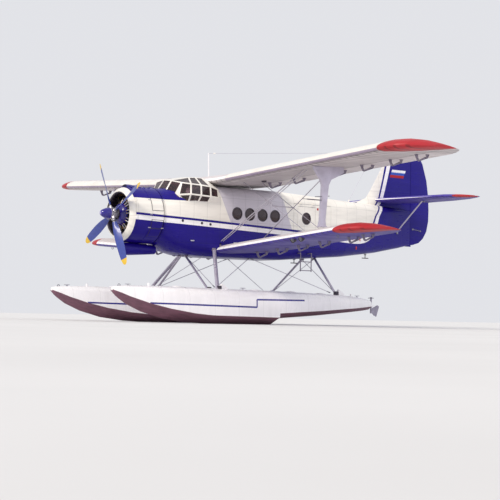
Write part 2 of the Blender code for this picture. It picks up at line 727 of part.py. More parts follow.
def build_engine():
    """Cowling, radial engine, oil cooler and exhaust."""
    lip = 0.05
    cowl_profile = [
        (COWL_BACK, COWL_RADIUS), (1.25, COWL_RADIUS), (0.85, COWL_RADIUS - 0.015),
        (0.68, COWL_RADIUS - 0.06), (COWL_FRONT + 0.015, COWL_RADIUS - 0.12), (COWL_FRONT, COWL_RADIUS - 0.17),
        (COWL_FRONT + 0.02, COWL_RADIUS - 0.21), (COWL_FRONT + 0.10, COWL_RADIUS - 0.20),
        (0.84, COWL_RADIUS - lip - 0.04), (1.25, COWL_RADIUS - COWL_WALL), (COWL_BACK, COWL_RADIUS - COWL_WALL),
    ]
    cowling = place("cowling", turned(cowl_profile, 40), PAINTS["cream"])

    case_profile = [
        (COWL_FRONT, 0.0), (COWL_FRONT, 0.15), (0.74, 0.19), (0.86, 0.30), (1.22, 0.33), (1.40, 0.40),
        (FIREWALL - SEAT_GAP, 0.40), (FIREWALL - SEAT_GAP, 0.0),
    ]
    engine = place("engine", turned(case_profile, 26), PAINTS["engine"])
    for number in range(CYLINDER_COUNT):
        angle = math.tau * number / CYLINDER_COUNT
        out = Vector((0, math.sin(angle), math.cos(angle)))
        centre = at(1.04, 0, 0)
        barrel = rod(centre + out * 0.24, centre + out * 0.60, 0.092, 12)
        join(engine, helper(f"cylinder_{number}", barrel))
        head = rod(centre + out * 0.54, centre + out * ENGINE_RADIUS, 0.130, 8)
        join(engine, helper(f"cylinder_head_{number}", head))
    for number, angle in enumerate((45, 135, 225, 315)):
        out = Vector((0, math.sin(math.radians(angle)), math.cos(math.radians(angle))))
        start = at(1.60, 0, 0) + out * 0.3
        arm = rod(start, at(1.60, 0, 0) + out * (COWL_RADIUS - COWL_WALL - SEAT_GAP - 0.003), 0.03, 6)
        join(engine, helper(f"engine_mount_{number}", arm))

    level = -0.985
    cooler_profile = [
        (0.98, OIL_COOLER_RADIUS), (0.76, OIL_COOLER_RADIUS), (0.72, OIL_COOLER_RADIUS - 0.015),
        (0.74, OIL_COOLER_RADIUS - 0.035), (0.92, OIL_COOLER_RADIUS - 0.03), (0.92, 0.0),
        (1.85, 0.0), (1.85, OIL_COOLER_RADIUS - 0.06),
    ]
    cooler = place("oil_cooler", turned(cooler_profile, 20, level), PAINTS["blue"])
    outside = helper("cooler_seat_cutter", tube(FUSELAGE_ROWS, SEAT_GAP))
    cowl_line = [(0.55, 0.0), (0.55, COWL_RADIUS - 0.02), (0.85, COWL_RADIUS), (1.75, COWL_RADIUS + SEAT_GAP), (1.75, 0.0)]
    cowl_outside = helper("cowl_seat_cutter", turned(cowl_line, 40))
    cut(cooler, outside, cowl_outside)

    start, knee, end = at(1.30, 0.60, -0.56), at(1.62, 0.80, -0.72), at(2.10, 0.90, -0.80)
    exhaust = place("exhaust_pipe", rod(knee, end, 0.075, 12), PAINTS["steel"])
    join(exhaust, helper("exhaust_elbow", rod(start, knee + (knee - start) * 0.05, 0.068, 12)))
    cut(exhaust, outside, cowl_outside)
    return cowling


BLADE_ROWS = (
    # radius, width, thickness, blade angle in degrees
    (0.12, 0.10, 0.100, 60),
    (0.30, 0.13, 0.070, 52),
    (0.55, 0.21, 0.045, 42),
    (0.90, 0.25, 0.032, 33),
    (1.25, 0.24, 0.024, 26),
    (1.50, 0.20, 0.018, 23),
    (1.63, 0.13, 0.013, 21),
    (PROPELLER_RADIUS, 0.05, 0.010, 21),
)
BLADE_SECTION = ((-0.5, 0.0), (-0.3, 0.42), (0.1, 0.5), (0.5, 0.0), (0.1, -0.28), (-0.3, -0.25))


def blade(angle):
    sections = []
    out = Vector((0, math.sin(angle), math.cos(angle)))
    across = Vector((0, math.cos(angle), -math.sin(angle)))
    for radius, width, thickness, pitch in BLADE_ROWS:
        turn = math.radians(pitch)
        chord = across * math.cos(turn) + Vector((1, 0, 0)) * math.sin(turn)
        normal = across * -math.sin(turn) + Vector((1, 0, 0)) * math.cos(turn)
        centre = at(PROPELLER_STATION, 0, 0) + out * radius
        sections.append([centre + chord * width * a + normal * thickness * b for a, b in BLADE_SECTION])
    return loft(sections)


def build_propeller():
    shaft = 0.075
    hub_profile = [(0.33, 0.0), (0.33, 0.13), (0.36, 0.155), (0.50, 0.155), (0.52, 0.12), (0.52, shaft), (COWL_FRONT - SEAT_GAP, shaft), (COWL_FRONT - SEAT_GAP, 0.0)]
    hub = place("propeller", turned(hub_profile, 20), PAINTS["blue"])
    for number in range(BLADE_COUNT):
        angle = math.radians(28) + math.tau * number / BLADE_COUNT
        join(hub, helper(f"blade_{number}", blade(angle)))
    nose_profile = [
        (0.0, 0.0), (0.02, 0.05), (0.08, 0.10), (0.18, 0.145), (0.28, 0.165),
        (0.33 - SEAT_GAP, 0.168), (0.33 - SEAT_GAP, 0.0),
    ]
    place("spinner", turned(nose_profile, 24), PAINTS["blue"])


def build_wings():
    """Centre section, four wing panels, and their slats, flaps and ailerons."""
    outside = helper("wing_seat_cutter", tube(FUSELAGE_ROWS, SEAT_GAP))
    root = UPPER["root"] - SEAT_GAP
    rise = math.tan(math.radians(UPPER["dihedral"])) * UPPER["root"]
    flat = [(s * UPPER["chord"], h * UPPER["chord"] + rise) for s, h in section_outline()]
    level = dict(UPPER, dihedral=0.0)
    centre = place("wing_centre", spread(level, STARBOARD, -root, root, flat), PAINTS["silver"])
    cut(centre, outside)

    flat_bay = bay_outline(LOWER)
    panels = {}
    for side, word in SIDES:
        upper = wing(f"upper_wing_{word}", UPPER, side, PAINTS["silver"])
        for part, reach in (("flap", UPPER_FLAP), ("aileron", AILERON)):
            shape = swung(UPPER, side, reach, bay_outline(UPPER), MOVING_GAP)
            cut(upper, helper(f"{part}_bay_{word}", shape))
        slat_bay = spread(UPPER, side, SLAT[0] - MOVING_GAP, SLAT[1] + MOVING_GAP, slat_bay_outline())
        cut(upper, helper(f"slat_bay_{word}", slat_bay))
        slat = place(f"slat_{word}", spread(UPPER, side, *SLAT, slat_outline()), PAINTS["silver"])
        frames = [runner_frame(side, y) for y in SLAT_RUNNERS]
        runners = plates(frames, runner_outline(0.21, 0.009), -0.009, 0.009)
        slots = plates(frames, runner_outline(0.23, 0.0093), -0.0093, 0.0093)
        join(slat, helper(f"slat_runners_{word}", runners))
        cut(upper, helper(f"slat_slots_{word}", slots))
        flap_shape = swung(UPPER, side, UPPER_FLAP, surface_outline(UPPER))
        flap = place(f"upper_flap_{word}", flap_shape, PAINTS["silver"])
        add_hooks(UPPER, side, UPPER_FLAP_HOOKS, upper, flap)
        aileron_shape = swung(UPPER, side, AILERON, surface_outline(UPPER))
        aileron = place(f"aileron_{word}", aileron_shape, PAINTS["silver"])
        add_hooks(UPPER, side, AILERON_HOOKS, upper, aileron)

        lower = wing(f"lower_wing_{word}", LOWER, side, PAINTS["blue"])
        bay = swung(LOWER, side, LOWER_FLAP, flat_bay, MOVING_GAP)
        cut(lower, helper(f"lower_bay_{word}", bay), outside)
        lower_shape = swung(LOWER, side, LOWER_FLAP, surface_outline(LOWER))
        lower_flap = place(f"lower_flap_{word}", lower_shape, PAINTS["blue"])
        add_hooks(LOWER, side, LOWER_FLAP_HOOKS, lower, lower_flap)
        panels[side] = (upper, lower)
    return centre, panels


STRUT_OUTLINE = (
    # (station, level): the front edge going up, then the back edge coming down
    (3.62, -1.10), (3.64, -0.47), (3.77, -0.40), (3.81, -0.22), (3.85, 0.50), (3.86, 0.74), (3.78, 0.92),
    (3.57, 1.17), (3.55, 1.90), (4.62, 1.90), (4.60, 1.12), (4.36, 0.99), (4.16, 0.90), (4.08, 0.74),
    (4.05, 0.50), (3.98, -0.22), (4.00, -0.36), (4.14, -0.46), (4.16, -1.10),
)
STRUT_HALF_WIDTH = 0.045


def build_interplane(panels):
    """The I-shaped struts, and the flying and landing wires that cross between the wings."""
    for side, word in SIDES:
        upper, lower = panels[side]
        shape = prism(
            STRUT_OUTLINE,
            lambda s, h: at(s, side * (STRUT_Y - STRUT_HALF_WIDTH), h),
            lambda s, h: at(s, side * (STRUT_Y + STRUT_HALF_WIDTH), h),
        )
        bottom, top = at(4.2, side * STRUT_Y, -1.1), at(4.2, side * STRUT_Y, 1.9)
        strut = place(f"interplane_strut_{word}", seated(shape, bottom, top, lower, upper), PAINTS["silver"])
        shell = bpy.data.objects["fuselage_shell"]
        wires = (
            # name, inner end, outer end, what each end seats on, radius
            ("flying_wire_front", (3.62, 0.50, -0.86), (3.86, 5.08, 1.50), shell, upper, 0.017),
            ("flying_wire_rear", (5.05, 0.50, -0.86), (4.66, 5.08, 1.50), shell, upper, 0.013),
            ("landing_wire_front", (3.90, 1.12, 1.30), (3.92, 5.10, -0.80), upper, lower, 0.010),
            ("landing_wire_rear", (4.62, 1.12, 1.30), (4.58, 5.10, -0.80), upper, lower, 0.010),
        )
        for name, inner, outer, first, last, radius in wires:
            start = at(inner[0], side * inner[1], inner[2])
            end = at(outer[0], side * outer[1], outer[2])
            wire = seated(rod(start, end, radius, 6), start, end, first, last)
            place(f"{name}_{word}", wire, PAINTS["steel"])


def build_tail():
    tail = bpy.data.objects["tail_cone"]
    cutter_rows = [list(row) for row in TAIL_ROWS]
    cutter_rows[-1][0] += 0.05
    tail_outside = helper("tail_seat_cutter", tube(cutter_rows, SEAT_GAP))
    back = STERNPOST
    nose = 0.42

    # The fin is lofted upwards: each row is a level with the stations of its two edges
    fin_rows = (
        # level, leading edge station, back edge station
        (0.62, 9.30, back), (0.93, 9.62, back), (1.06, 9.95, back), (1.32, 10.14, back), (HORN_FOOT - MOVING_GAP - 0.001, 10.77, back),
        (HORN_FOOT - MOVING_GAP, 10.771, HORN_FRONT - MOVING_GAP), (2.60, 10.94, HORN_FRONT - MOVING_GAP),
        (2.72, 11.14, HORN_FRONT - MOVING_GAP), (2.77, 11.28, HORN_FRONT - MOVING_GAP),
    )
    sections = []
    for h, front, rear in fin_rows:
        thin = FIN_HALF_THICKNESS * (0.35 if h > 2.75 else 0.7 if h > 2.7 else 1.0)
        full = min(front + nose, rear - 0.1)
        sections.append([
            at(front, 0.004, h), at((front + full) / 2, thin * 0.78, h), at(full, thin, h), at(rear, thin, h),
            at(rear, -thin, h), at(full, -thin, h), at((front + full) / 2, -thin * 0.78, h), at(front, -0.004, h),
        ])
    fin = place("fin", loft(sections), PAINTS["blue"])
    cut(fin, tail_outside)

    # The rudder is lofted upwards too, with its nose turned about the hinge line
    plain = RUDDER_HINGE - RUDDER_NOSE
    rudder_rows = (
        # level, front station, trailing edge station, thickness share
        (RUDDER_FOOT, plain, 12.02, 0.55), (-0.30, plain, 12.30, 0.9), (-0.14, plain, 12.50, 1.0), (0.10, plain, 12.65, 1.0),
        (0.45, plain, 12.73, 1.0), (0.80, plain, TAIL_STATION, 1.0), (1.30, plain, 12.71, 1.0), (1.82, plain, 12.62, 1.0),
        (HORN_FOOT, plain, 12.43, 1.0), (HORN_FOOT + 0.001, HORN_FRONT, 12.43, 1.0), (2.60, HORN_FRONT + 0.02, 12.27, 0.9),
        (2.73, HORN_FRONT + 0.08, 12.12, 0.6), (2.78, HORN_FRONT + 0.16, 11.98, 0.3),
    )
    sections = []
    for h, front, trailing, thick in rudder_rows:
        ring = []
        for degrees in (270, 225, 180, 135, 90):
            angle = math.radians(degrees)
            ring.append(at(RUDDER_HINGE + (RUDDER_HINGE - front) * math.cos(angle), RUDDER_NOSE * thick * -math.sin(angle), h))
        sections.append(ring + [at(trailing, -0.006, h), at(trailing, 0.006, h)])
    place("rudder", loft(sections), PAINTS["blue"])

    plane_rows = (
        # side distance, leading edge station, hinge cut, trailing edge, thickness share
        (0.02, 10.30, 1.0), (0.6, 10.36, 1.0), (2.9, 10.62, 0.80), (3.30, 10.78, 0.62), (3.52, 11.00, 0.40), (TAILPLANE_SPAN, 11.22, 0.22),
    )
    fin_cutter_half = FIN_HALF_THICKNESS + SEAT_GAP
    hinge_radius = 0.055
    for side, word in SIDES:
        sections = []
        for y, lead, thick in plane_rows:
            half = TAILPLANE_THICKNESS / 2 * thick
            cut_back = ELEVATOR_HINGE - hinge_radius - MOVING_GAP
            chord = cut_back - lead
            tail_half = min(hinge_radius, half)
            outline = (
                (lead, 0.0), (lead + 0.03 * chord, half * 0.42), (lead + 0.16 * chord, half * 0.86), (lead + 0.42 * chord, half),
                (cut_back, tail_half), (cut_back, -tail_half), (lead + 0.42 * chord, -half), (lead + 0.16 * chord, -half * 0.86), (lead + 0.03 * chord, -half * 0.42),
            )
            start_y = max(y, fin_cutter_half)
            sections.append([at(s, side * start_y, TAILPLANE_LEVEL + h) for s, h in outline])
        plane = place(f"tailplane_{word}", loft(sections), PAINTS["blue"])
        arm = block(
            (ELEVATOR_HINGE - 0.12, side * 0.20, TAILPLANE_LEVEL - 0.028),
            (ELEVATOR_HINGE + 0.03, side * (ELEVATOR_ROOT - SEAT_GAP), TAILPLANE_LEVEL + 0.028),
        )
        join(plane, helper(f"elevator_arm_{word}", arm))

        sections = []
        for y, trailing, thick in ((ELEVATOR_ROOT, ELEVATOR_BACK, 1.0), (1.9, ELEVATOR_BACK - 0.04, 1.0), (2.7, ELEVATOR_BACK - 0.17, 0.9), (3.25, ELEVATOR_BACK - 0.40, 0.62), (TAILPLANE_SPAN, 11.56, 0.30)):
            ring = []
            for degrees in (270, 225, 180, 135, 90):
                angle = math.radians(degrees)
                radius = hinge_radius * thick
                ring.append(at(ELEVATOR_HINGE + radius * math.cos(angle), side * y, TAILPLANE_LEVEL - radius * math.sin(angle)))
            sections.append(ring + [at(trailing, side * y, TAILPLANE_LEVEL - 0.005), at(trailing, side * y, TAILPLANE_LEVEL + 0.005)])
        place(f"elevator_{word}", loft(sections), PAINTS["blue"])

        plane = bpy.data.objects[f"tailplane_{word}"]
        start, end = at(11.15, 0, -0.15), at(10.98, side * 1.80, TAILPLANE_LEVEL + 0.1)
        strut = seated(rod(start, end, 0.030, 8, 0.6), start, end, tail, plane)
        place(f"tailplane_strut_{word}", strut, PAINTS["silver"])


FLOAT_ROWS = (
    # station, keel, chine, chine half width, side top, deck half width, deck top: heights over the floor
    (BOW_STATION, 0.868, 0.892, 0.060, 0.912, 0.054, 0.944),
    (BOW_STATION + 0.025, 0.815, 0.868, 0.128, 0.904, 0.120, 0.972),
    (BOW_STATION + 0.085, 0.752, 0.842, 0.180, 0.895, 0.171, 0.990),
    (-0.36, 0.672, 0.802, 0.226, 0.880, 0.216, 1.002),
    (-0.10, 0.505, 0.700, 0.302, 0.848, 0.292, 1.014),
    (0.40, 0.300, 0.550, 0.395, 0.785, 0.380, 1.025),
    (1.10, 0.120, 0.400, 0.465, 0.735, 0.450, 1.030),
    (1.90, 0.025, 0.285, 0.500, 0.695, 0.485, 1.025),
    (2.50, 0.000, 0.240, 0.505, 0.680, 0.490, 1.015),
    (STEP_STATION, 0.000, 0.215, 0.505, 0.665, 0.490, 0.995),
    (STEP_STATION + 0.02, 0.170, 0.335, 0.490, 0.665, 0.488, 0.995),
    (6.60, 0.300, 0.445, 0.440, 0.680, 0.435, 0.965),
    (7.90, 0.425, 0.545, 0.330, 0.705, 0.325, 0.915),
    (8.40, 0.480, 0.590, 0.245, 0.715, 0.240, 0.860),
    (STERN_STATION, 0.520, 0.615, 0.180, 0.720, 0.170, 0.800),
)


def float_ring(side, s, keel, chine, chine_half, side_top, deck_half, deck):
    crown = ((1.0, 0.0), (0.93, 0.42), (0.72, 0.76), (0.38, 0.95), (0.0, 1.0))
    half = [(KEEL_HALF_WIDTH, keel), (chine_half, chine), (chine_half, chine + 0.012)]
    half += [(deck_half * out, side_top + (deck - side_top) * up) for out, up in crown]
    whole = half + [(-y, z) for y, z in reversed(half) if y > 0]
    return [at(s, side * FLOAT_Y + y, z - THRUST_HEIGHT) for y, z in whole]


def build_floats():
    """Two floats, each with its mooring bollards and the bracket of its water rudder."""
    for side, word in SIDES:
        hull = place(f"float_{word}", loft([float_ring(side, *row) for row in FLOAT_ROWS]), PAINTS["white"])
        for number, (s, deck) in enumerate(((0.62, 1.00), (7.95, 0.88))):
            top = at(s, side * FLOAT_Y, deck + 0.10 - THRUST_HEIGHT)
            post = rod(at(s, side * FLOAT_Y, deck - 0.08 - THRUST_HEIGHT), top, 0.035, 10)
            join(hull, helper(f"bollard_{word}_{number}", post))
        bracket = block(
            (STERN_STATION - 0.05, side * FLOAT_Y - 0.055, 0.60 - THRUST_HEIGHT),
            (STERN_STATION + 0.18, side * FLOAT_Y + 0.055, 0.66 - THRUST_HEIGHT),
        )
        join(hull, helper(f"rudder_bracket_{word}", bracket))

        post_s = STERN_STATION + 0.12
        low, high = at(post_s, side * FLOAT_Y, 0.40 - THRUST_HEIGHT), at(post_s, side * FLOAT_Y, 0.90 - THRUST_HEIGHT)
        rudder = place(f"water_rudder_{word}", rod(low, high, 0.028, 10), PAINTS["aluminium"])
        blade_outline = ((post_s, 0.46), (post_s + 0.12, 0.34), (post_s + 0.22, 0.30), (post_s + 0.33, 0.62), (post_s + 0.26, 0.66), (post_s, 0.54))
        plate = prism(
            [(s, z - THRUST_HEIGHT) for s, z in blade_outline],
            lambda s, h: at(s, side * FLOAT_Y - 0.010, h),
            lambda s, h: at(s, side * FLOAT_Y + 0.010, h),
        )
        join(rudder, helper(f"rudder_blade_{word}", plate))
        hub_gap = helper(f"hub_gap_{word}", rod(low, high, 0.029, 16))
        cut(hull, hub_gap)


def build_float_struts():
    shell = bpy.data.objects["fuselage_shell"]
    for side, word in SIDES:
        hull = bpy.data.objects[f"float_{word}"]
        struts = (
            # name, seat on the fuselage, seat on the float, radius
            ("float_strut_main", (3.42, 0.84, -0.95), (2.90, 1.80, -2.08), 0.060),
            ("float_strut_inner", (2.88, 0.12, -1.11), (2.85, 1.42, -2.14), 0.042),
            ("float_strut_rear", (7.62, 0.30, -1.00), (7.38, 1.70, -2.16), 0.045),
        )
        for name, top, foot, radius in struts:
            start, end = at(top[0], side * top[1], top[2]), at(foot[0], side * foot[1], foot[2])
            reach = (end - start).normalized() * 0.30
            start, end = start - reach, end + reach
            shape = seated(rod(start, end, radius, 10, 0.62), start, end, shell, hull)
            place(f"{name}_{word}", shape, PAINTS["silver"])


def build_mast():
    """The aerial mast on the middle of the upper wing."""
    centre = bpy.data.objects["wing_centre"]
    low, high = at(3.75, 0, 1.10), at(3.72, 0, 2.02)
    shape = rod(low, high, 0.022, 10, 0.6)
    trim(shape, *face_met(centre, at(3.73, 0, 1.9), low))
    place("aerial_mast", shape, PAINTS["silver"])


def build_ladder():
    """The boarding ladder that hangs below the passenger door."""
    front, back = CREW_DOOR["front"] + 0.06, CREW_DOOR["back"] - 0.26
    top, bottom = -0.88, -1.46
    y = -0.93
    rail = 0.016
    ladder = place("boarding_ladder", rod(at(front, y, top), at(front, y, bottom), rail, 8), PAINTS["steel"])
    others = [rod(at(back, y, top), at(back, y, bottom), rail, 8)]
    for h in (-1.16, bottom + 0.03):
        others.append(block((front, y - 0.035, h - 0.012), (back, y + 0.035, h + 0.012)))
    for s in (front, back):
        others.append(rod(at(s, y, top - 0.02), at(s, -0.5, top - 0.02), rail, 8))
    for number, shape in enumerate(others):
        join(ladder, helper(f"ladder_part_{number}", shape))
    cut(ladder, helper("ladder_seat_cutter", tube(FUSELAGE_ROWS, SEAT_GAP)))


def clear_scene():
    for obj in list(bpy.data.objects):
        bpy.data.objects.remove(obj)


PAINTS = {}


def main():
    clear_scene()
    PAINTS.update(
        white=paint("white_enamel", (0.86, 0.85, 0.82), 0.35),
        cream=paint("cream_enamel", (0.84, 0.82, 0.76), 0.35),
        blue=paint("blue_enamel", (0.03, 0.025, 0.28), 0.35),
        silver=paint("silver_dope", (0.62, 0.60, 0.62), 0.45, 0.3),
        steel=paint("steel", (0.42, 0.42, 0.45), 0.4, 0.9),
        aluminium=paint("aluminium", (0.60, 0.60, 0.62), 0.4, 0.9),
        engine=paint("engine_castings", (0.10, 0.10, 0.12), 0.5, 0.6),
        leather=paint("seat_leather", (0.16, 0.08, 0.05), 0.6),
        grey=paint("cabin_grey", (0.45, 0.46, 0.47), 0.6),
        dark=paint("instrument_black", (0.03, 0.03, 0.035), 0.5),
    )
    build_fuselage()
    build_canopy()
    build_cockpit()
    build_engine()
    build_propeller()
    _, panels = build_wings()
    build_interplane(panels)
    build_tail()
    build_floats()
    build_float_struts()
    build_ladder()
    build_mast()


main()
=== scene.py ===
"""Looks of a single-engine biplane on twin floats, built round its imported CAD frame."""

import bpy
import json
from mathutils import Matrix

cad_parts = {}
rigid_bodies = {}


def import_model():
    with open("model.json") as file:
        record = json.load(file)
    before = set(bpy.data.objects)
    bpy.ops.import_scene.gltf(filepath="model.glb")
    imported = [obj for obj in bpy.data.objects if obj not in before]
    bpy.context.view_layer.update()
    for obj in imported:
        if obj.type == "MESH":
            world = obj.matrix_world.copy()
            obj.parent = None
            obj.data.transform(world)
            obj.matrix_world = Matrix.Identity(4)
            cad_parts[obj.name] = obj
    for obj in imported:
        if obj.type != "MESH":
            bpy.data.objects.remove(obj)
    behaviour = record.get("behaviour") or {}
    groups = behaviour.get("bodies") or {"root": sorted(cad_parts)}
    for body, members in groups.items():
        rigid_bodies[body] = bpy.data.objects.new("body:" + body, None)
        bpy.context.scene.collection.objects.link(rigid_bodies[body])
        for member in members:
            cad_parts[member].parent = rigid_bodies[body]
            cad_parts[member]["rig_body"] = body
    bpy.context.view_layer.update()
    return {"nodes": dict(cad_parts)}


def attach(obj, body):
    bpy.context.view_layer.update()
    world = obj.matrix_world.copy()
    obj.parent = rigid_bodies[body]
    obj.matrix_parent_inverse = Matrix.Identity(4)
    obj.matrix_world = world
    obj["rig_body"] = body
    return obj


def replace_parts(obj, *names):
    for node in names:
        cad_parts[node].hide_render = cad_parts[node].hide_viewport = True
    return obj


bl_info = {
    "name": "Floatplane",
    "version": (1, 0, 0),
    "blender": (4, 5, 0),
    "location": "View3D > Sidebar > Floatplane",
    "description": "Dresses the floatplane's solids with paint, fabric, glass, rigging and fittings",
    "category": "Add Mesh",
}

import functools
import json
import math

import bmesh
import bpy
from mathutils import Matrix, Vector

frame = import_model()

# Stations run aft from the spinner's tip, levels up from the thrust line, as in the part's source
MIDDLE_STATION = 6.095
THRUST_HEIGHT = 3.10
PORT, STARBOARD = -1, 1
SIDES = ((PORT, "left"), (STARBOARD, "right"))
AFT, ACROSS, UP, DOWN = (1, 0, 0), (0, 1, 0), (0, 0, 1), (0, 0, -1)
AIRFRAME = "airframe"

COWL_RADIUS = 0.82
CYLINDERS = 9
ENGINE_STATION = 1.04
PROPELLER_STATION = 0.42
OIL_COOLER_LEVEL = -0.985
# The hull's sides are straight to the wing's trailing edge, then draw in, and draw in faster along the tail cone
CABIN_HALF_WIDTH, TAIL_HALF_WIDTH = 0.88, 0.66
TAPER_START, TAIL_START = 6.0, 8.6
TAPER_SLOPE = (CABIN_HALF_WIDTH - TAIL_HALF_WIDTH) / (TAIL_START - TAPER_START)
TAIL_SLOPE = 0.1625
WINDOW_LEVEL = 0.18
WINDOW_STATIONS = (4.20, 4.67, 5.14, 5.61)
DOOR_WINDOW_STATION = 6.88
CREW_FLOOR = -0.76
SEAT_Y = 0.42
FLOAT_Y = 1.72
STERN_STATION = 8.65
UPPER = {"span": 9.09, "chord": 2.40, "lead": 3.35, "level": 1.06, "slope": math.tan(math.radians(3.0))}
LOWER = {"span": 7.12, "chord": 2.00, "lead": 3.50, "level": -1.00, "slope": math.tan(math.radians(4.2))}
TAIL = {"lead": 10.30, "sweep": 0.10}


def at(s, y=0.0, h=0.0):
    """A place in the part's frame, in metres. Without side and level it lies on the thrust line."""
    return Vector((s - MIDDLE_STATION, y, h + THRUST_HEIGHT))


def side_y(s):
    """How far the hull's side stands out from the middle."""
    taper = TAPER_SLOPE * min(max(0.0, s - TAPER_START), TAIL_START - TAPER_START)
    return CABIN_HALF_WIDTH - taper - TAIL_SLOPE * max(0.0, s - TAIL_START)


def on_wing(wing, s, y, over=0.0):
    """A place at a wing's dihedral, over its level by so much. The station counts from the leading edge."""
    return at(wing["lead"] + s, y, wing["level"] + abs(y) * wing["slope"] + over)


def linear(colour):
    """An sRGB hex colour as linear red, green, blue and alpha. A paint that is linear already comes back."""
    if not isinstance(colour, str):
        return colour
    shares = [int(colour[i : i + 2], 16) / 255 for i in (1, 3, 5)]
    return [c / 12.92 if c <= 0.04045 else ((c + 0.055) / 1.055) ** 2.4 for c in shares] + [1.0]


def paint_property(name, description, hex_colour):
    """A colour that the user can change, kept as linear values."""
    return bpy.props.FloatVectorProperty(
        name=name, description=description, subtype="COLOR", size=4, min=0.0, max=1.0, default=linear(hex_colour)
    )


def length_property(name, description, default):
    """A length in metres that the user can change."""
    return bpy.props.FloatProperty(
        name=name, description=description, unit="LENGTH", subtype="DISTANCE", min=0.0005, default=default
    )


class FloatplanePaints(bpy.types.PropertyGroup):
    """Colours of the floatplane's paints and bare finishes"""

    blue: paint_property("Hull blue", "Deep blue enamel of the lower hull, the tail and the spinner", "#1D0E80")
    cream: paint_property("Cream", "Cream-white enamel of the upper hull and the cowl ring", "#F6F1E8")
    white: paint_property("White", "White enamel of the cheat line, leading edges and floats", "#FAF7F8")
    panel: paint_property("Panel grey", "Pale grey panel round the cabin windows", "#D0CBD5")
    red: paint_property("Tip red", "Red enamel of the wing and tail tips", "#B41E28")
    dope: paint_property("Wing dope", "Pale grey doped fabric of the upper wing", "#D2CACB")
    blue_dope: paint_property("Blue dope", "Blue doped fabric under the lower wing and the tailplane", "#47379A")
    keel: paint_property("Keel paint", "Purple-brown paint of the float bottoms", "#7E5566")
    silver: paint_property("Strut silver", "Silver paint of the struts", "#C2BBCB")
    blade: paint_property("Blade blue", "Blue of the propeller blades", "#3B4A9B")
    yellow: paint_property("Tip yellow", "Yellow of the blade tips", "#E7BE3A")
    brass: paint_property("Cylinder brass", "Warm metal of the rocker boxes", "#B98F5C")
    leather: paint_property("Seat leather", "Brown leather of the crew's seats", "#5A3322")
    grey: paint_property("Cabin grey", "Grey enamel of the cabin's walls and floor", "#8C8F93")
    glass: paint_property("Glass tint", "Smoky tint of the cockpit glass", "#8A6E74")


class FloatplaneSizes(bpy.types.PropertyGroup):
    """Sizes of the floatplane's patterns and fittings"""

    rib_pitch: length_property("Rib pitch", "Distance between the wing ribs under the fabric", 0.24)
    seam_pitch: length_property("Seam pitch", "Distance between the hull's sheet seams", 0.46)
    rivet_pitch: length_property("Rivet pitch", "Distance between rivets along a seam", 0.05)
    stripe: length_property("Stripe width", "Width of the white cheat line", 0.135)
    thin_stripe: length_property("Thin stripe width", "Width of the thin blue line over it", 0.068)
    rigging: length_property("Rigging radius", "Radius of the bracing wires of the floats", 0.009)
    aerial: length_property("Aerial radius", "Radius of the aerial wire", 0.0045)
    pane: length_property("Pane thickness", "Thickness of the cockpit glass", 0.004)


def paints():
    return bpy.context.scene.floatplane_paints


def sizes():
    return bpy.context.scene.floatplane_sizes


# ---- Materials -------------------------------------------------------------------------------


def add_node(tree, kind, *values, out=0, **settings):
    """Adds a node and returns one output. Values are its inputs by place, settings with a capital its inputs by
    name, and other settings its own. A kind that is all capitals is a Math node's operation."""
    if kind.isupper():
        kind, settings["operation"] = "Math", kind
    made = tree.nodes.new(f"ShaderNode{kind}")
    inputs = dict(enumerate(values))
    for key, value in settings.items():
        if key[0].isupper():
            inputs[key.replace("_", " ")] = value
        else:
            setattr(made, key, value)
    for key, value in inputs.items():
        if isinstance(value, bpy.types.NodeSocket):
            tree.links.new(value, made.inputs[key])
        elif value is not None:
            made.inputs[key].default_value = value
    return made.outputs[out] if made.outputs else made


def begin(name):
    """A new material, what adds its nodes, and the piece's own coordinates, also as station, side and level."""
    made = bpy.data.materials.new(name)
    made.use_nodes = True
    made.node_tree.nodes.clear()
    add = functools.partial(add_node, made.node_tree)
    placed = add("Mapping", add("TexCoord", out="Object"), (MIDDLE_STATION, 0.0, -THRUST_HEIGHT))
    return made, add, placed, add("SeparateXYZ", placed).node.outputs


def close(made, add, colour, roughness, relief, depth, tone=None, coats=(), **constants):
    """Lays coats over a colour, each where its mask is 1, darkens it by a tone, and ends the material in one shader.
    What is the same all over is set on the shader's own socket."""
    layers = [(mask, coat, "MIX") for mask, coat in coats]
    if tone is not None:
        layers.append((1.0, tone, "MULTIPLY"))
    for mask, coat, blend in layers:
        colour = add("Mix", mask, *[None] * 5, linear(colour), linear(coat), data_type="RGBA", blend_type=blend, out=2)
    bump = add("Bump", Height=relief, Distance=depth, Strength=1.0)
    shader = add("BsdfPrincipled", Base_Color=linear(colour), Roughness=roughness, Normal=bump, **constants)
    add("OutputMaterial", shader)
    return made


def set_ramp(ramp_output, stops, interpolation="LINEAR"):
    """Gives a colour ramp its stops."""
    ramp = ramp_output.node.color_ramp
    ramp.interpolation = interpolation
    while len(ramp.elements) < len(stops):
        ramp.elements.new(1.0)
    for element, (position, colour) in zip(ramp.elements, stops):
        element.position = position
        element.color = linear(colour)
    return ramp_output


def shade(colour, share):
    """A paint a little darker or lighter."""
    return [min(1.0, c * share) for c in linear(colour)[:3]] + [1.0]


def shades(colour, *stops):
    """A ramp's stops in one paint, each darker or lighter by its own share."""
    return [(position, shade(colour, share)) for position, share in stops]


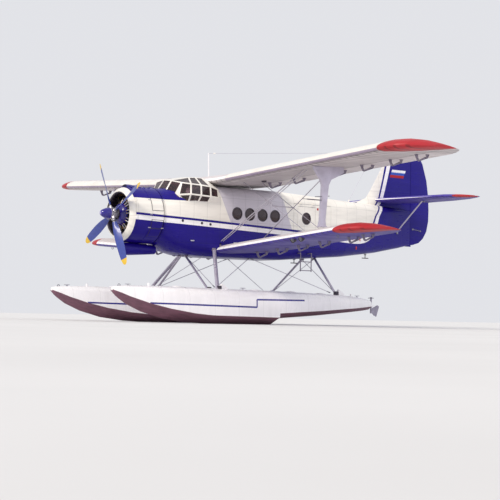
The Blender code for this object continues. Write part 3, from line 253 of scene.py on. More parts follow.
def hull_enamel(name):
    """Alkyd enamel sprayed over riveted duralumin: glossy, with faint waves between the seams."""
    made, add, placed, (s, y, h) = begin(name)
    colours, lengths = paints(), sizes()

    # The cheat line falls going aft and turns up into the fin, so it is where two slanting edges meet
    line_fall, line_depth, fin_lean, turn_radius = 0.0387, 0.145, 0.28, 1.3
    over = add("ADD", h, add("MULTIPLY_ADD", s, line_fall, line_depth))
    fin_edge = add("MULTIPLY_ADD", h, fin_lean, add("MapRange", h, 0.45, 1.05, 10.09, 10.34))
    ahead = add("MULTIPLY", add("SUBTRACT", fin_edge, s), 1 / math.hypot(1, fin_lean))
    line = add("SMOOTH_MIN", over, ahead, turn_radius)
    line_top = lengths.stripe + lengths.thin_stripe
    bands = (
        (0.0, colours.blue), (0.5, colours.white), (0.5 + lengths.stripe, colours.blue),
        (0.5 + line_top, colours.cream),
    )
    hull_bands = set_ramp(add("ValToRGB", add("ADD", line, 0.5)), bands, "CONSTANT")

    # The pale panel round the cabin windows leans forward at both ends
    panel_front, front_lean, panel_back, back_lean = 3.924, 0.486, 6.205, 0.425
    behind = add("GREATER_THAN", add("MULTIPLY_ADD", h, front_lean, s), panel_front)
    before = add("LESS_THAN", add("MULTIPLY_ADD", h, back_lean, s), panel_back)
    is_upper = add("GREATER_THAN", line, line_top)
    in_panel = add("MULTIPLY", add("MULTIPLY", behind, before), is_upper)
    # Blue over the nose, up to the windscreen, and a cream ring in front of it
    nose_level, nose_end, ring_end = 0.455, 2.42, 0.745
    on_nose = add("MULTIPLY", add("GREATER_THAN", h, nose_level), add("LESS_THAN", s, nose_end))
    on_ring = add("LESS_THAN", s, ring_end)
    # A plain three-band flag on the fin, leaning as the fin does
    flag_station, flag_lean, half_length, flag_level, half_height = 10.50, 0.40, 0.30, 1.94, 0.13
    along = add("COMPARE", add("MULTIPLY_ADD", h, -flag_lean, s), flag_station, half_length)
    in_flag = add("MULTIPLY", along, add("COMPARE", h, flag_level, half_height))
    share = add("MapRange", h, flag_level - half_height, flag_level + half_height)
    flag_bands = ((0.0, colours.red), (0.333, "#2F54B8"), (0.667, colours.white))
    flag = set_ramp(add("ValToRGB", share), flag_bands, "CONSTANT")
    coats = ((in_panel, colours.panel), (on_nose, colours.blue), (on_ring, colours.cream), (in_flag, flag))

    # Sheet seams run round the hull and along it. A real seam is 1 mm wide; it is drawn at 7 mm to show
    round_seam = add("PINGPONG", add("ADD", s, 0.10), lengths.seam_pitch / 2)
    long_seam = add("PINGPONG", add("ADD", h, 0.07), lengths.seam_pitch * 0.75)
    seam = add("MapRange", add("MINIMUM", round_seam, long_seam), 0.0035, 0.007, 1.0, 0.0)
    # Rivets in rows 20 mm from each round seam, drawn 9 mm across where the real ones are 5 mm
    across_row = add("SUBTRACT", round_seam, 0.020)
    along_row = add("PINGPONG", h, lengths.rivet_pitch / 2)
    off_rivet = add("VectorMath", add("CombineXYZ", across_row, along_row), operation="LENGTH", out="Value")
    rivet = add("MapRange", off_rivet, 0.0030, 0.0055, 1.0, 0.0)

    # Sheets bow a little between their frames, at about 0.5 m, and weather in streaks along the airflow
    bow = add("TexNoise", placed, Scale=2.2, Detail=1.0)
    streaks = add("TexNoise", add("Mapping", placed, Scale=(0.35, 3.0, 3.0)), Scale=3.2, Detail=5.0)
    worn = add("MapRange", streaks, 0.3, 0.75, 1.05, 0.88)
    tone = add("MULTIPLY", worn, add("MapRange", seam, 0.0, 1.0, 1.0, 0.76))
    relief = add("MULTIPLY_ADD", bow, 1.4, add("SUBTRACT", rivet, seam))
    roughness = add("MapRange", streaks, 0.3, 0.8, 0.24, 0.42)
    gloss = {"Coat_Weight": 0.05, "Coat_Roughness": 0.12, "Specular_IOR_Level": 0.2}
    return close(made, add, hull_bands, roughness, relief, 0.0012, tone, coats, **gloss)


def doped_fabric(name, wing, top, under, tip_start, tip_lean, lead_band, ribs=1.0, gap_shadows=()):
    """Linen doped over ribs: dull silver or blue, drawn tight, so each rib shows as a raised tape."""
    made, add, placed, (s, y, h) = begin(name)
    colours, half_pitch = paints(), sizes().rib_pitch / 2
    out = add("ABSOLUTE", y)
    facing = add("SeparateXYZ", add("NewGeometry", out="Normal"), out="Z")
    is_top = add("MapRange", facing, -0.04, 0.04)

    # Rib tapes are 40 mm wide, drawn at 55 mm to show, and the fabric hangs a few millimetres between them
    off_rib = add("PINGPONG", out, half_pitch)
    tape = add("MapRange", off_rib, 0.021, 0.033, 1.0, 0.0)
    sag = add("MapRange", off_rib, 0.0, half_pitch, 1.0, 0.0, interpolation_type="SMOOTHSTEP")
    # Painted shade: the tapes are darkened into lines, dark from below and faint from above, where the light washes
    # them out
    tape_shade_depth = add("MapRange", is_top, 0.0, 1.0, 0.42 * ribs, 0.06 * ribs)
    tape_shade = add("MULTIPLY_ADD", add("MULTIPLY", tape, tape_shade_depth), -1.0, 1.02)
    streaks = add("TexNoise", add("Mapping", placed, Scale=(0.35, 1.6, 1.0)), Scale=1.7, Detail=4.0)
    tone = add("MULTIPLY", tape_shade, add("MapRange", streaks, 0.3, 0.72, 1.03, 0.91))
    # Below, spray and exhaust leave soft streaks from front to back, each about 0.1 m wide
    splashes = add("TexNoise", add("Mapping", placed, Scale=(0.25, 4.5, 1.0)), Scale=2.0, Detail=3.0)
    dirt = add("MapRange", splashes, 0.38, 0.68, 0.0, 0.16 * ribs)
    dirt_below = add("MULTIPLY", dirt, add("SUBTRACT", 1.0, is_top))
    tone = add("MULTIPLY", tone, add("MULTIPLY_ADD", dirt_below, -1.0, 1.03))

    # White leading edge, then the red tip, which starts on a line that leans outwards going aft
    unswept = add("MULTIPLY_ADD", out, -wing.get("sweep", 0.0), s)
    on_nose = add("LESS_THAN", unswept, wing["lead"] + lead_band)
    on_lead = add("MULTIPLY", on_nose, add("GREATER_THAN", facing, -0.42))
    leaning = add("MULTIPLY_ADD", s, -tip_lean, out)
    on_tip = add("GREATER_THAN", leaning, tip_start - tip_lean * wing["lead"])
    # The top takes one colour and the underside another; where both are shades of one dope, that is painted light on
    # top and painted shade below
    coats = ((is_top, top), (on_lead, colours.white), (on_tip, colours.red))
    # Painted shadow: a dark line on the underside at the gap behind the slat and at the hinge line. The gaps are 8 mm
    # wide; the shadow is drawn 45 mm wide to show
    hidden = add("MAXIMUM", is_top, on_tip)
    for gap in gap_shadows:
        off_gap = add("ABSOLUTE", add("SUBTRACT", unswept, wing["lead"] + gap))
        line = add("MapRange", off_gap, 0.016, 0.028, 0.52, 1.0)
        tone = add("MULTIPLY", tone, add("MAXIMUM", line, hidden))

    # Linen has about 1 mm threads; the weave is drawn at 12 mm so that it still breaks up the gloss
    weave = add("TexNoise", placed, Scale=85.0, Detail=1.0)
    relief = add("MULTIPLY_ADD", tape, 0.3, add("MULTIPLY", sag, 0.7))
    relief = add("MULTIPLY_ADD", weave, 0.05, relief)
    return close(made, add, under, add("MapRange", streaks, 0.3, 0.8, 0.42, 0.60), relief, 0.006, tone, coats)


def plain_paint(name, colour, roughness=0.35, wear=0.10, scale=5.0, metallic=0.0, coat=0.2, under=None):
    """Brushed or sprayed paint on a small metal part: even, with a soft mottle from handling."""
    made, add, placed, _ = begin(name)
    mottle = add("TexNoise", placed, Scale=scale, Detail=5.0)
    tone = add("MapRange", mottle, 0.3, 0.7, 1.0 + wear / 2, 1.0 - wear)
    coats = []
    if under:
        # Painted shade: where it faces down, the part takes the under colour
        facing = add("SeparateXYZ", add("NewGeometry", out="Normal"), out="Z")
        coats.append((add("MapRange", facing, -0.35, -0.05), colour))
        colour = under
    rough = add("MapRange", mottle, 0.3, 0.7, roughness - 0.05, roughness + 0.08)
    fine = add("TexNoise", placed, Scale=140.0, Detail=2.0)
    return close(made, add, colour, rough, fine, 0.0004, tone, coats, Metallic=metallic, Coat_Weight=coat)


def bare_metal(name, colour, roughness, grain=60.0):
    """Bare rolled or drawn metal: its grain runs one way and scatters the light along it."""
    made, add, placed, _ = begin(name)
    lines = add("TexNoise", add("Mapping", placed, Scale=(1.0, 1.0, 9.0)), Scale=grain, Detail=3.0)
    grained = set_ramp(add("ValToRGB", lines), shades(colour, (0.3, 0.82), (0.7, 1.12)))
    rough = add("MapRange", lines, 0.3, 0.7, roughness - 0.07, roughness + 0.10)
    return close(made, add, grained, rough, lines, 0.0003, Metallic=1.0)


def blade_paint(name):
    """Satin enamel on forged blades, blue with yellow tips, so that the turning disc can be seen."""
    made, add, placed, (s, y, h) = begin(name)
    reach = add("VectorMath", add("CombineXYZ", 0.0, y, h), operation="LENGTH", out="Value")
    bands = ((0.0, "#8E8B96"), (0.085, "#55535C"), (0.14, paints().blade), (0.745, paints().yellow))
    painted = set_ramp(add("ValToRGB", add("MapRange", reach, 0.0, 2.0)), bands, "CONSTANT")
    chips = add("TexNoise", placed, Scale=14.0, Detail=6.0)
    tone = add("MapRange", chips, 0.35, 0.7, 1.05, 0.85)
    rough = add("MapRange", chips, 0.3, 0.7, 0.28, 0.40)
    return close(made, add, painted, rough, chips, 0.0004, tone, Coat_Weight=0.2)


def spinner_enamel(name):
    """Gloss enamel on a spun aluminium cone, blue, with a painted highlight on its nose."""
    made, add, placed, (s, y, h) = begin(name)
    # Painted highlight: a pale tip and a lighter blue ring behind it. The cone's rear is grey
    bands = ((0.0, "#B9B3DC"), (0.03, "#5A50A8"), (0.07, paints().blue), (0.62, "#A9A4B0"))
    painted = set_ramp(add("ValToRGB", add("MapRange", s, 0.0, 0.5)), bands, "CONSTANT")
    mottle = add("TexNoise", placed, Scale=18.0, Detail=3.0)
    rough = add("MapRange", mottle, 0.3, 0.7, 0.16, 0.28)
    return close(made, add, painted, rough, mottle, 0.0003, Coat_Weight=0.5)


def float_enamel(name):
    """Marine enamel on riveted alloy floats: white over the chine, with a dark blue pinstripe."""
    made, add, placed, (s, y, h) = begin(name)
    # The pinstripe: low from near the bow, up, and on aft at a higher level
    riser_station, riser_level, riser_half = 4.02, -2.495, 0.112
    middle, half_length, half_width = 3.12, 2.68, 0.024
    low_line = add("MULTIPLY_ADD", s, -0.012, -2.555)
    high_line = add("MULTIPLY_ADD", s, 0.010, -2.425)
    level = add("Mix", add("GREATER_THAN", s, riser_station), None, low_line, high_line)
    run = add("MULTIPLY", add("COMPARE", h, level, half_width), add("COMPARE", s, middle, half_length))
    riser_band = add("COMPARE", s, riser_station, 0.022)
    riser = add("MULTIPLY", riser_band, add("COMPARE", h, riser_level, riser_half))
    pinstripe = (add("MAXIMUM", run, riser), paints().blue)
    # Seams between the sheets, a frame apart, each with a row of rivets 20 mm from it
    off_seam = add("PINGPONG", s, 0.425)
    seam = add("MapRange", off_seam, 0.003, 0.007, 1.0, 0.0)
    in_row = add("COMPARE", off_seam, 0.02, 0.006)
    rivets = add("MULTIPLY", in_row, add("LESS_THAN", add("PINGPONG", y, 0.02), 0.005))
    streaks = add("TexNoise", add("Mapping", placed, Scale=(1.6, 1.6, 0.35)), Scale=3.0, Detail=6.0)
    worn = add("MapRange", streaks, 0.35, 0.75, 1.02, 0.93)
    tone = add("MULTIPLY", worn, add("MapRange", seam, 0.0, 1.0, 1.0, 0.84))
    relief = add("SUBTRACT", rivets, seam)
    rough = add("MapRange", streaks, 0.3, 0.8, 0.22, 0.40)
    return close(made, add, paints().white, rough, relief, 0.0015, tone, [pinstripe], Coat_Weight=0.3)


def keel_paint(name):
    """Antifouling paint on the float bottoms: flat, chalky, scoured along the flow."""
    made, add, placed, _ = begin(name)
    scour = add("TexNoise", add("Mapping", placed, Scale=(0.5, 3.0, 3.0)), Scale=4.0, Detail=7.0, Roughness=0.65)
    scoured = set_ramp(add("ValToRGB", scour), shades(paints().keel, (0.28, 0.68), (0.5, 1.0), (0.74, 1.28)))
    return close(made, add, scoured, add("MapRange", scour, 0.3, 0.7, 0.5, 0.72), scour, 0.002)


def seat_leather(name):
    """Dyed cowhide: fine pebbled grain, polished where the crew sit."""
    made, add, placed, _ = begin(name)
    # Leather grain is about 2 mm, drawn at 6 mm to show
    grain = add("TexVoronoi", placed, Scale=160.0)
    use = add("TexNoise", placed, Scale=7.0, Detail=3.0)
    dyed = set_ramp(add("ValToRGB", use), shades(paints().leather, (0.3, 0.7), (0.7, 1.3)))
    return close(made, add, dyed, add("MapRange", use, 0.3, 0.7, 0.38, 0.58), grain, 0.001)


def tinted_glass(name, colour, roughness=0.02, transmission=0.92):
    """Moulded acrylic: clear, smoky, with a trace of fine scratches from cleaning."""
    made, add, placed, _ = begin(name)
    scratches = add("TexNoise", placed, Scale=24.0, Detail=6.0)
    rough = add("MapRange", scratches, 0.5, 0.8, roughness, roughness + 0.05)
    return close(made, add, colour, rough, scratches, 0.0001, Transmission_Weight=transmission, IOR=1.49)


def lamp_glass(name, hex_colour):
    """Pressed lamp glass in its colour, ribbed inside so that it glows a little."""
    made, add, placed, _ = begin(name)
    colour = linear(hex_colour)
    ribs = add("TexWave", placed, Scale=40.0)
    glow = {"Emission_Color": colour, "Emission_Strength": 0.15}
    return close(made, add, colour, 0.08, ribs, 0.001, Transmission_Weight=0.35, IOR=1.5, **glow)


def floor_plaster(name):
    """Smooth pale studio floor with a barely visible mottle."""
    made, add, placed, _ = begin(name)
    mottle = add("TexNoise", placed, Scale=0.35, Detail=4.0)
    plaster = set_ramp(add("ValToRGB", mottle), ((0.2, "#DAD9D8"), (0.8, "#E2E1E0")))
    return close(made, add, plaster, 0.8, mottle, 0.002)


def make_finishes():
    """Every finish of the aircraft, by name."""
    colours = paints()
    # Painted light: the tops are painted 5 % lighter than the wing dope, and the upper wing's underside 10 % darker,
    # as painted shade
    pale = shade(colours.dope, 1.05)
    upper_tip, lower_tip = (UPPER["span"] - 1.00, 0.54, 0.07), (LOWER["span"] - 0.92, 0.52, 0.06)
    return {
        "hull": hull_enamel("hull_enamel"),
        "dope": doped_fabric(
            "wing_linen", UPPER, pale, shade(colours.dope, 0.90), *upper_tip, gap_shadows=(0.105, 1.470)
        ),
        # Painted light: the undersides of the flaps and ailerons are 10 % lighter than the wing dope
        "flap_dope": doped_fabric(
            "flap_linen", UPPER, pale, shade(colours.dope, 1.10), *upper_tip, 0.6, gap_shadows=(1.500,)
        ),
        "blue_dope": doped_fabric(
            "lower_wing_linen", LOWER, pale, colours.blue_dope, *lower_tip, gap_shadows=(1.225,)
        ),
        # Painted light: the tailplane's top is its blue paint made 10 % lighter
        "tail_dope": doped_fabric(
            "tail_linen", TAIL, shade(colours.blue_dope, 1.1), colours.blue_dope, 2.95, 0.55, 0.025, 0.7
        ),
        # Painted shade: the slat's lilac underside
        "slat": plain_paint("slat_enamel", colours.cream, 0.30, 0.12, 2.0, under="#A797AE"),
        "silver": plain_paint("strut_silver", colours.silver, 0.30, 0.14, 4.0, 0.5),
        "white": plain_paint("white_enamel", colours.white, 0.28, 0.08, 4.0),
        "cream": plain_paint("cream_enamel", colours.cream, 0.28, 0.10, 3.0),
        "blue": plain_paint("blue_enamel", colours.blue, 0.26, 0.12, 4.0, 0.0, 0.4),
        "red": plain_paint("red_enamel", colours.red, 0.28, 0.10, 5.0),
        "grey": plain_paint("cabin_enamel", colours.grey, 0.50, 0.12, 3.0, 0.0, 0.0),
        "black": plain_paint("black_enamel", "#17161A", 0.45, 0.20, 9.0, 0.0, 0.1),
        "dark": plain_paint("hatch_shadow_grey", "#3A3340", 0.5, 0.15, 7.0, 0.0, 0.0),
        "brass": plain_paint("rocker_box_enamel", colours.brass, 0.32, 0.25, 16.0, 0.7),
        "castings": plain_paint("engine_castings", "#2C2830", 0.48, 0.30, 20.0, 0.3),
        "wire": plain_paint("galvanised_wire", "#BDB8C4", 0.32, 0.15, 9.0, 0.4, 0.0),
        "hook": plain_paint("bracket_steel", "#837B8B", 0.34, 0.20, 14.0, 0.35, 0.0),
        "plate": plain_paint("galvanised_plate", "#A29CAD", 0.42, 0.22, 6.0, 0.3, 0.0),
        "float": float_enamel("float_enamel"),
        "keel": keel_paint("keel_antifouling"),
        "blade": blade_paint("blade_enamel"),
        "spinner": spinner_enamel("spinner_enamel"),
        "steel": bare_metal("drawn_steel", "#8F8C95", 0.30),
        "aluminium": bare_metal("rolled_aluminium", "#C9C7CC", 0.34, 40.0),
        "exhaust": bare_metal("heat_tinted_steel", "#7A6152", 0.42, 30.0),
        "leather": seat_leather("seat_leather"),
        "glass": tinted_glass("cockpit_acrylic", colours.glass),
        "cabin_glass": tinted_glass("cabin_acrylic", "#5A3A40", 0.04, 0.75),
        "clear": tinted_glass("clear_lamp_glass", "#F4F4F2", 0.02, 0.9),
        "red_lamp": lamp_glass("red_lamp_glass", "#C0121A"),
        "green_lamp": lamp_glass("green_lamp_glass", "#0E8B4A"),
    }


# Every finish, by name, made when the first is asked for
FINISHES = {}


def finish(name):
    """The finish of that name. All of them are made when the first is asked for."""
    if not FINISHES:
        FINISHES.update(make_finishes())
    return FINISHES[name]


# ---- Shapes ----------------------------------------------------------------------------------


def smoothed(shape, sharp):
    """Smooth shading, broken where faces meet at more than sharp degrees."""
    for face in shape.faces:
        face.smooth = True
    for edge in shape.edges:
        edge.smooth = edge.calc_face_angle(0.0) < math.radians(sharp)


def new_object(shape, name):
    """Makes an object of a shape, at the origin, and frees the shape."""
    mesh = bpy.data.meshes.new(name)
    shape.to_mesh(mesh)
    shape.free()
    obj = bpy.data.objects.new(name, mesh)
    bpy.context.scene.collection.objects.link(obj)
    return obj


def finished(shape, name, finishes, body):
    """An object of a shape, with its finishes, that rides on a body."""
    obj = new_object(shape, name)
    for each in [finishes] if isinstance(finishes, str) else finishes:
        obj.data.materials.append(finish(each))
    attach(obj, body)
    return obj


def piece(shape, name, kind, body=AIRFRAME, sharp=35):
    """A finished new piece, its doubles merged, its faces outwards and its edges kept crisp."""
    bmesh.ops.remove_doubles(shape, verts=shape.verts, dist=1e-5)
    bmesh.ops.recalc_face_normals(shape, faces=shape.faces)
    smoothed(shape, sharp)
    return finished(shape, name, kind, body)


def dressed(node, finishes, sharp=32, second=None):
    """A merged and smoothed copy of a CAD solid, which stands for it. Second picks the faces of finish two."""
    source = frame["nodes"][node]
    shape = bmesh.new()
    shape.from_mesh(source.data)
    bmesh.ops.remove_doubles(shape, verts=shape.verts, dist=2e-5)
    bmesh.ops.dissolve_limit(shape, angle_limit=math.radians(0.3), verts=shape.verts, edges=shape.edges)
    for face in shape.faces:
        face.material_index = 1 if second and second(face) else 0
    smoothed(shape, sharp)
    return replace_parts(finished(shape, f"{node}_surface", finishes, source["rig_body"]), node)


def rod(shape, start, end, radius, end_radius=None, steps=12):
    """Adds a round bar from start to end."""
    axis = end - start
    turn = axis.to_track_quat("Z", "Y").to_matrix().to_4x4()
    placed = Matrix.Translation((start + end) / 2) @ turn
    last = radius if end_radius is None else end_radius
    bmesh.ops.create_cone(
        shape, cap_ends=True, segments=steps, radius1=radius, radius2=last, depth=axis.length, matrix=placed
    )


def lathe(shape, profile, centre, axis=AFT, steps=32, closed=False, first=None, angle=math.tau):
    """Spins a profile of (along, out) places round an axis through centre."""
    along = Vector(axis).normalized()
    out = (Vector(first) if first else along.orthogonal()).normalized()
    verts = [shape.verts.new(centre + along * a + out * r) for a, r in profile]
    pairs = list(zip(verts, verts[1:])) + ([(verts[-1], verts[0])] if closed else [])
    edges = [shape.edges.new(pair) for pair in pairs]
    whole = abs(angle - math.tau) < 1e-6
    bmesh.ops.spin(
        shape, geom=verts + edges, cent=centre, axis=along, angle=angle, steps=steps, use_merge=whole,
        use_duplicate=False,
    )


def ring(shape, centre, axis, radius, thickness, steps=32):
    """Adds a round ring of round section."""
    turns = [math.tau * i / 8 for i in range(8)]
    profile = [(thickness * math.sin(a), radius + thickness * math.cos(a)) for a in turns]
    lathe(shape, profile, centre, axis, steps, closed=True)


def bar(shape, centre, size, round_by=0.0, turn=None, segments=2):
    """Adds a rectangular block with its edges rounded."""
    placed = Matrix.Translation(centre) @ (turn.to_4x4() if turn else Matrix()) @ Matrix.Diagonal((*size, 1.0))
    verts = bmesh.ops.create_cube(shape, size=1.0, matrix=placed)["verts"]
    edges = dict.fromkeys(edge for vert in verts for edge in vert.link_edges)
    bmesh.ops.bevel(
        shape, geom=list(edges), offset=round_by, segments=segments, profile=0.5, affect="EDGES", material=-1
    )


def slab(shape, outline, thickness):
    """Adds a flat plate: an outline of places, pushed out by a vector."""
    face = shape.faces.new([shape.verts.new(place) for place in outline])
    grown = bmesh.ops.extrude_face_region(shape, geom=[face])["geom"]
    bmesh.ops.translate(shape, vec=thickness, verts=[v for v in grown if isinstance(v, bmesh.types.BMVert)])


# ---- Operators -------------------------------------------------------------------------------


def inner_faces(level, least):
    """Tells the faces of a hollow shell that look towards its middle, which lies at a level."""

    def is_inner(face):
        middle = face.calc_center_median()
        return face.normal.y * middle.y + face.normal.z * (middle.z - THRUST_HEIGHT - level) < -least

    return is_inner


class FLOATPLANE_OT_hull(bpy.types.Operator):
    """Paints the hull, its doors, fin and rudder, and adds windows, handles, marks, ports and belly aerials"""

    bl_idname = "floatplane.hull"
    bl_label = "Hull"

    def execute(self, context):
        for node in ("fuselage_shell", "tail_cone", "cargo_door", "passenger_door"):
            dressed(node, ("hull", "grey"), 30, inner_faces(-0.1, 0.02))
        for node in ("fin", "rudder"):
            dressed(node, "hull", 30)
        for node, kind in (("cabin_floor", "grey"), ("cockpit_bulkhead", "grey"), ("instrument_panel", "black")):
            frame["nodes"][node].material_slots[0].material = finish(kind)

        # Round cabin windows: a pressed rim on the skin, and a slightly domed pane
        rim_profile = [(0.001, 0.163), (0.008, 0.166), (0.010, 0.180), (0.001, 0.190), (-0.012, 0.163)]
        pane_profile = [(0.006, 0.0), (0.005, 0.06), (0.001, 0.12), (-0.006, 0.1635)]
        pane_profile += [(-0.012, 0.1635), (-0.004, 0.10), (0.001, 0.0)]
        for side, word in SIDES:
            places = [(s, AIRFRAME) for s in WINDOW_STATIONS]
            places.append((DOOR_WINDOW_STATION, "passenger_door" if side == PORT else AIRFRAME))
            for number, (s, body) in enumerate(places):
                outwards = (TAPER_SLOPE if s > TAPER_START else 0.0, side, 0)
                centre = at(s, side * side_y(s), WINDOW_LEVEL)
                rim, pane = bmesh.new(), bmesh.new()
                lathe(rim, rim_profile, centre, outwards, 40, closed=True)
                piece(rim, f"window_rim_{word}_{number}", "dark", body)
                lathe(pane, pane_profile, centre, outwards, 40)
                piece(pane, f"window_pane_{word}_{number}", "cabin_glass", body)

        marks, door_mark = bmesh.new(), bmesh.new()
        for s, h in ((8.92, -0.33), (9.27, -0.345), (9.10, -0.62)):
            bar(marks, at(s, PORT * side_y(s), h), (0.045, 0.006, 0.10), 0.002)
        piece(marks, "red_service_marks", "red")
        bar(door_mark, at(7.35, PORT * (side_y(7.35) - 0.012), 0.50), (0.07, 0.03, 0.07), 0.002)
        piece(door_mark, "red_door_mark", "red", "cargo_door")

        # Each door's handle is a stem through the skin with a lever that points forward
        for door, middle, stem, end, level in (
            ("passenger_door", 7.15, 7.17, 7.04, -0.20), ("cargo_door", 7.75, 7.78, 7.66, -0.30),
        ):
            handle = bmesh.new()
            y = PORT * (side_y(middle) + 0.012)
            rod(handle, at(stem, y + 0.03, level), at(stem, y - 0.012, level), 0.012)
            rod(handle, at(stem, y - 0.012, level), at(end, y - 0.014, level), 0.008)
            piece(handle, f"{door}_handle", "steel", door)

        # Small fittings on the port side: round ports along the cheat line, and grips lower down
        ports, grips = bmesh.new(), bmesh.new()
        port_profile = [(0.003, 0.0), (0.004, 0.018), (0.011, 0.028), (0.008, 0.038), (-0.012, 0.040)]
        for s, y, h in ((2.29, 0.844, -0.135), (2.94, 0.874, -0.175), (3.24, 0.879, -0.195)):
            lathe(ports, port_profile, at(s, PORT * y, h), (0, PORT, 0), 20)
        piece(ports, "hull_ports", "dark")
        for s in (2.62, 4.15):
            bar(grips, at(s, PORT * CABIN_HALF_WIDTH * 0.995, -0.70), (0.13, 0.016, 0.035), 0.006)
        piece(grips, "hull_grips", "aluminium")

        aerials = bmesh.new()
        for s, belly in ((7.05, -1.04), (9.97, -0.77)):
            rod(aerials, at(s, 0, belly + 0.04), at(s, 0, belly - 0.13), 0.014)
            rod(aerials, at(s - 0.13, 0, belly - 0.13), at(s + 0.13, 0, belly - 0.13), 0.014)
            lathe(aerials, [(0.0, 0.05), (0.012, 0.045), (0.02, 0.02)], at(s, 0, belly - 0.01), DOWN, 16)
        piece(aerials, "belly_aerials", "dark")

        actuator, tail_lamp = bmesh.new(), bmesh.new()
        rod(actuator, at(11.98, PORT * 0.075, 0.14), at(12.34, PORT * 0.055, 0.10), 0.010)
        bar(actuator, at(11.98, PORT * 0.062, 0.14), (0.07, 0.03, 0.05), 0.006)
        bar(actuator, at(12.34, PORT * 0.030, 0.10), (0.05, 0.05, 0.04), 0.005)
        piece(actuator, "trim_actuator", "steel", "rudder")
        lathe(tail_lamp, [(0.0, 0.022), (0.015, 0.02), (0.024, 0.008), (0.026, 0.0)], at(12.705, 0, 0.80), AFT, 16)
        piece(tail_lamp, "tail_lamp", "clear", "rudder")
        return {"FINISHED"}


def round_engine(degrees):
    """Directions at an angle from the top of the engine towards starboard: out, across, and a turn to both."""
    angle = math.radians(degrees)
    out = Vector((0, math.sin(angle), math.cos(angle)))
    across = Vector((0, math.cos(angle), -math.sin(angle)))
    return out, across, Matrix((Vector(AFT), across, out)).transposed()


def in_shaded_mouth(face):
    """Whether a face of the oil cooler lies inside its mouth and looks forward, where black is painted as shade."""
    return face.calc_center_median().x > at(0.80).x and face.normal.x < -0.8


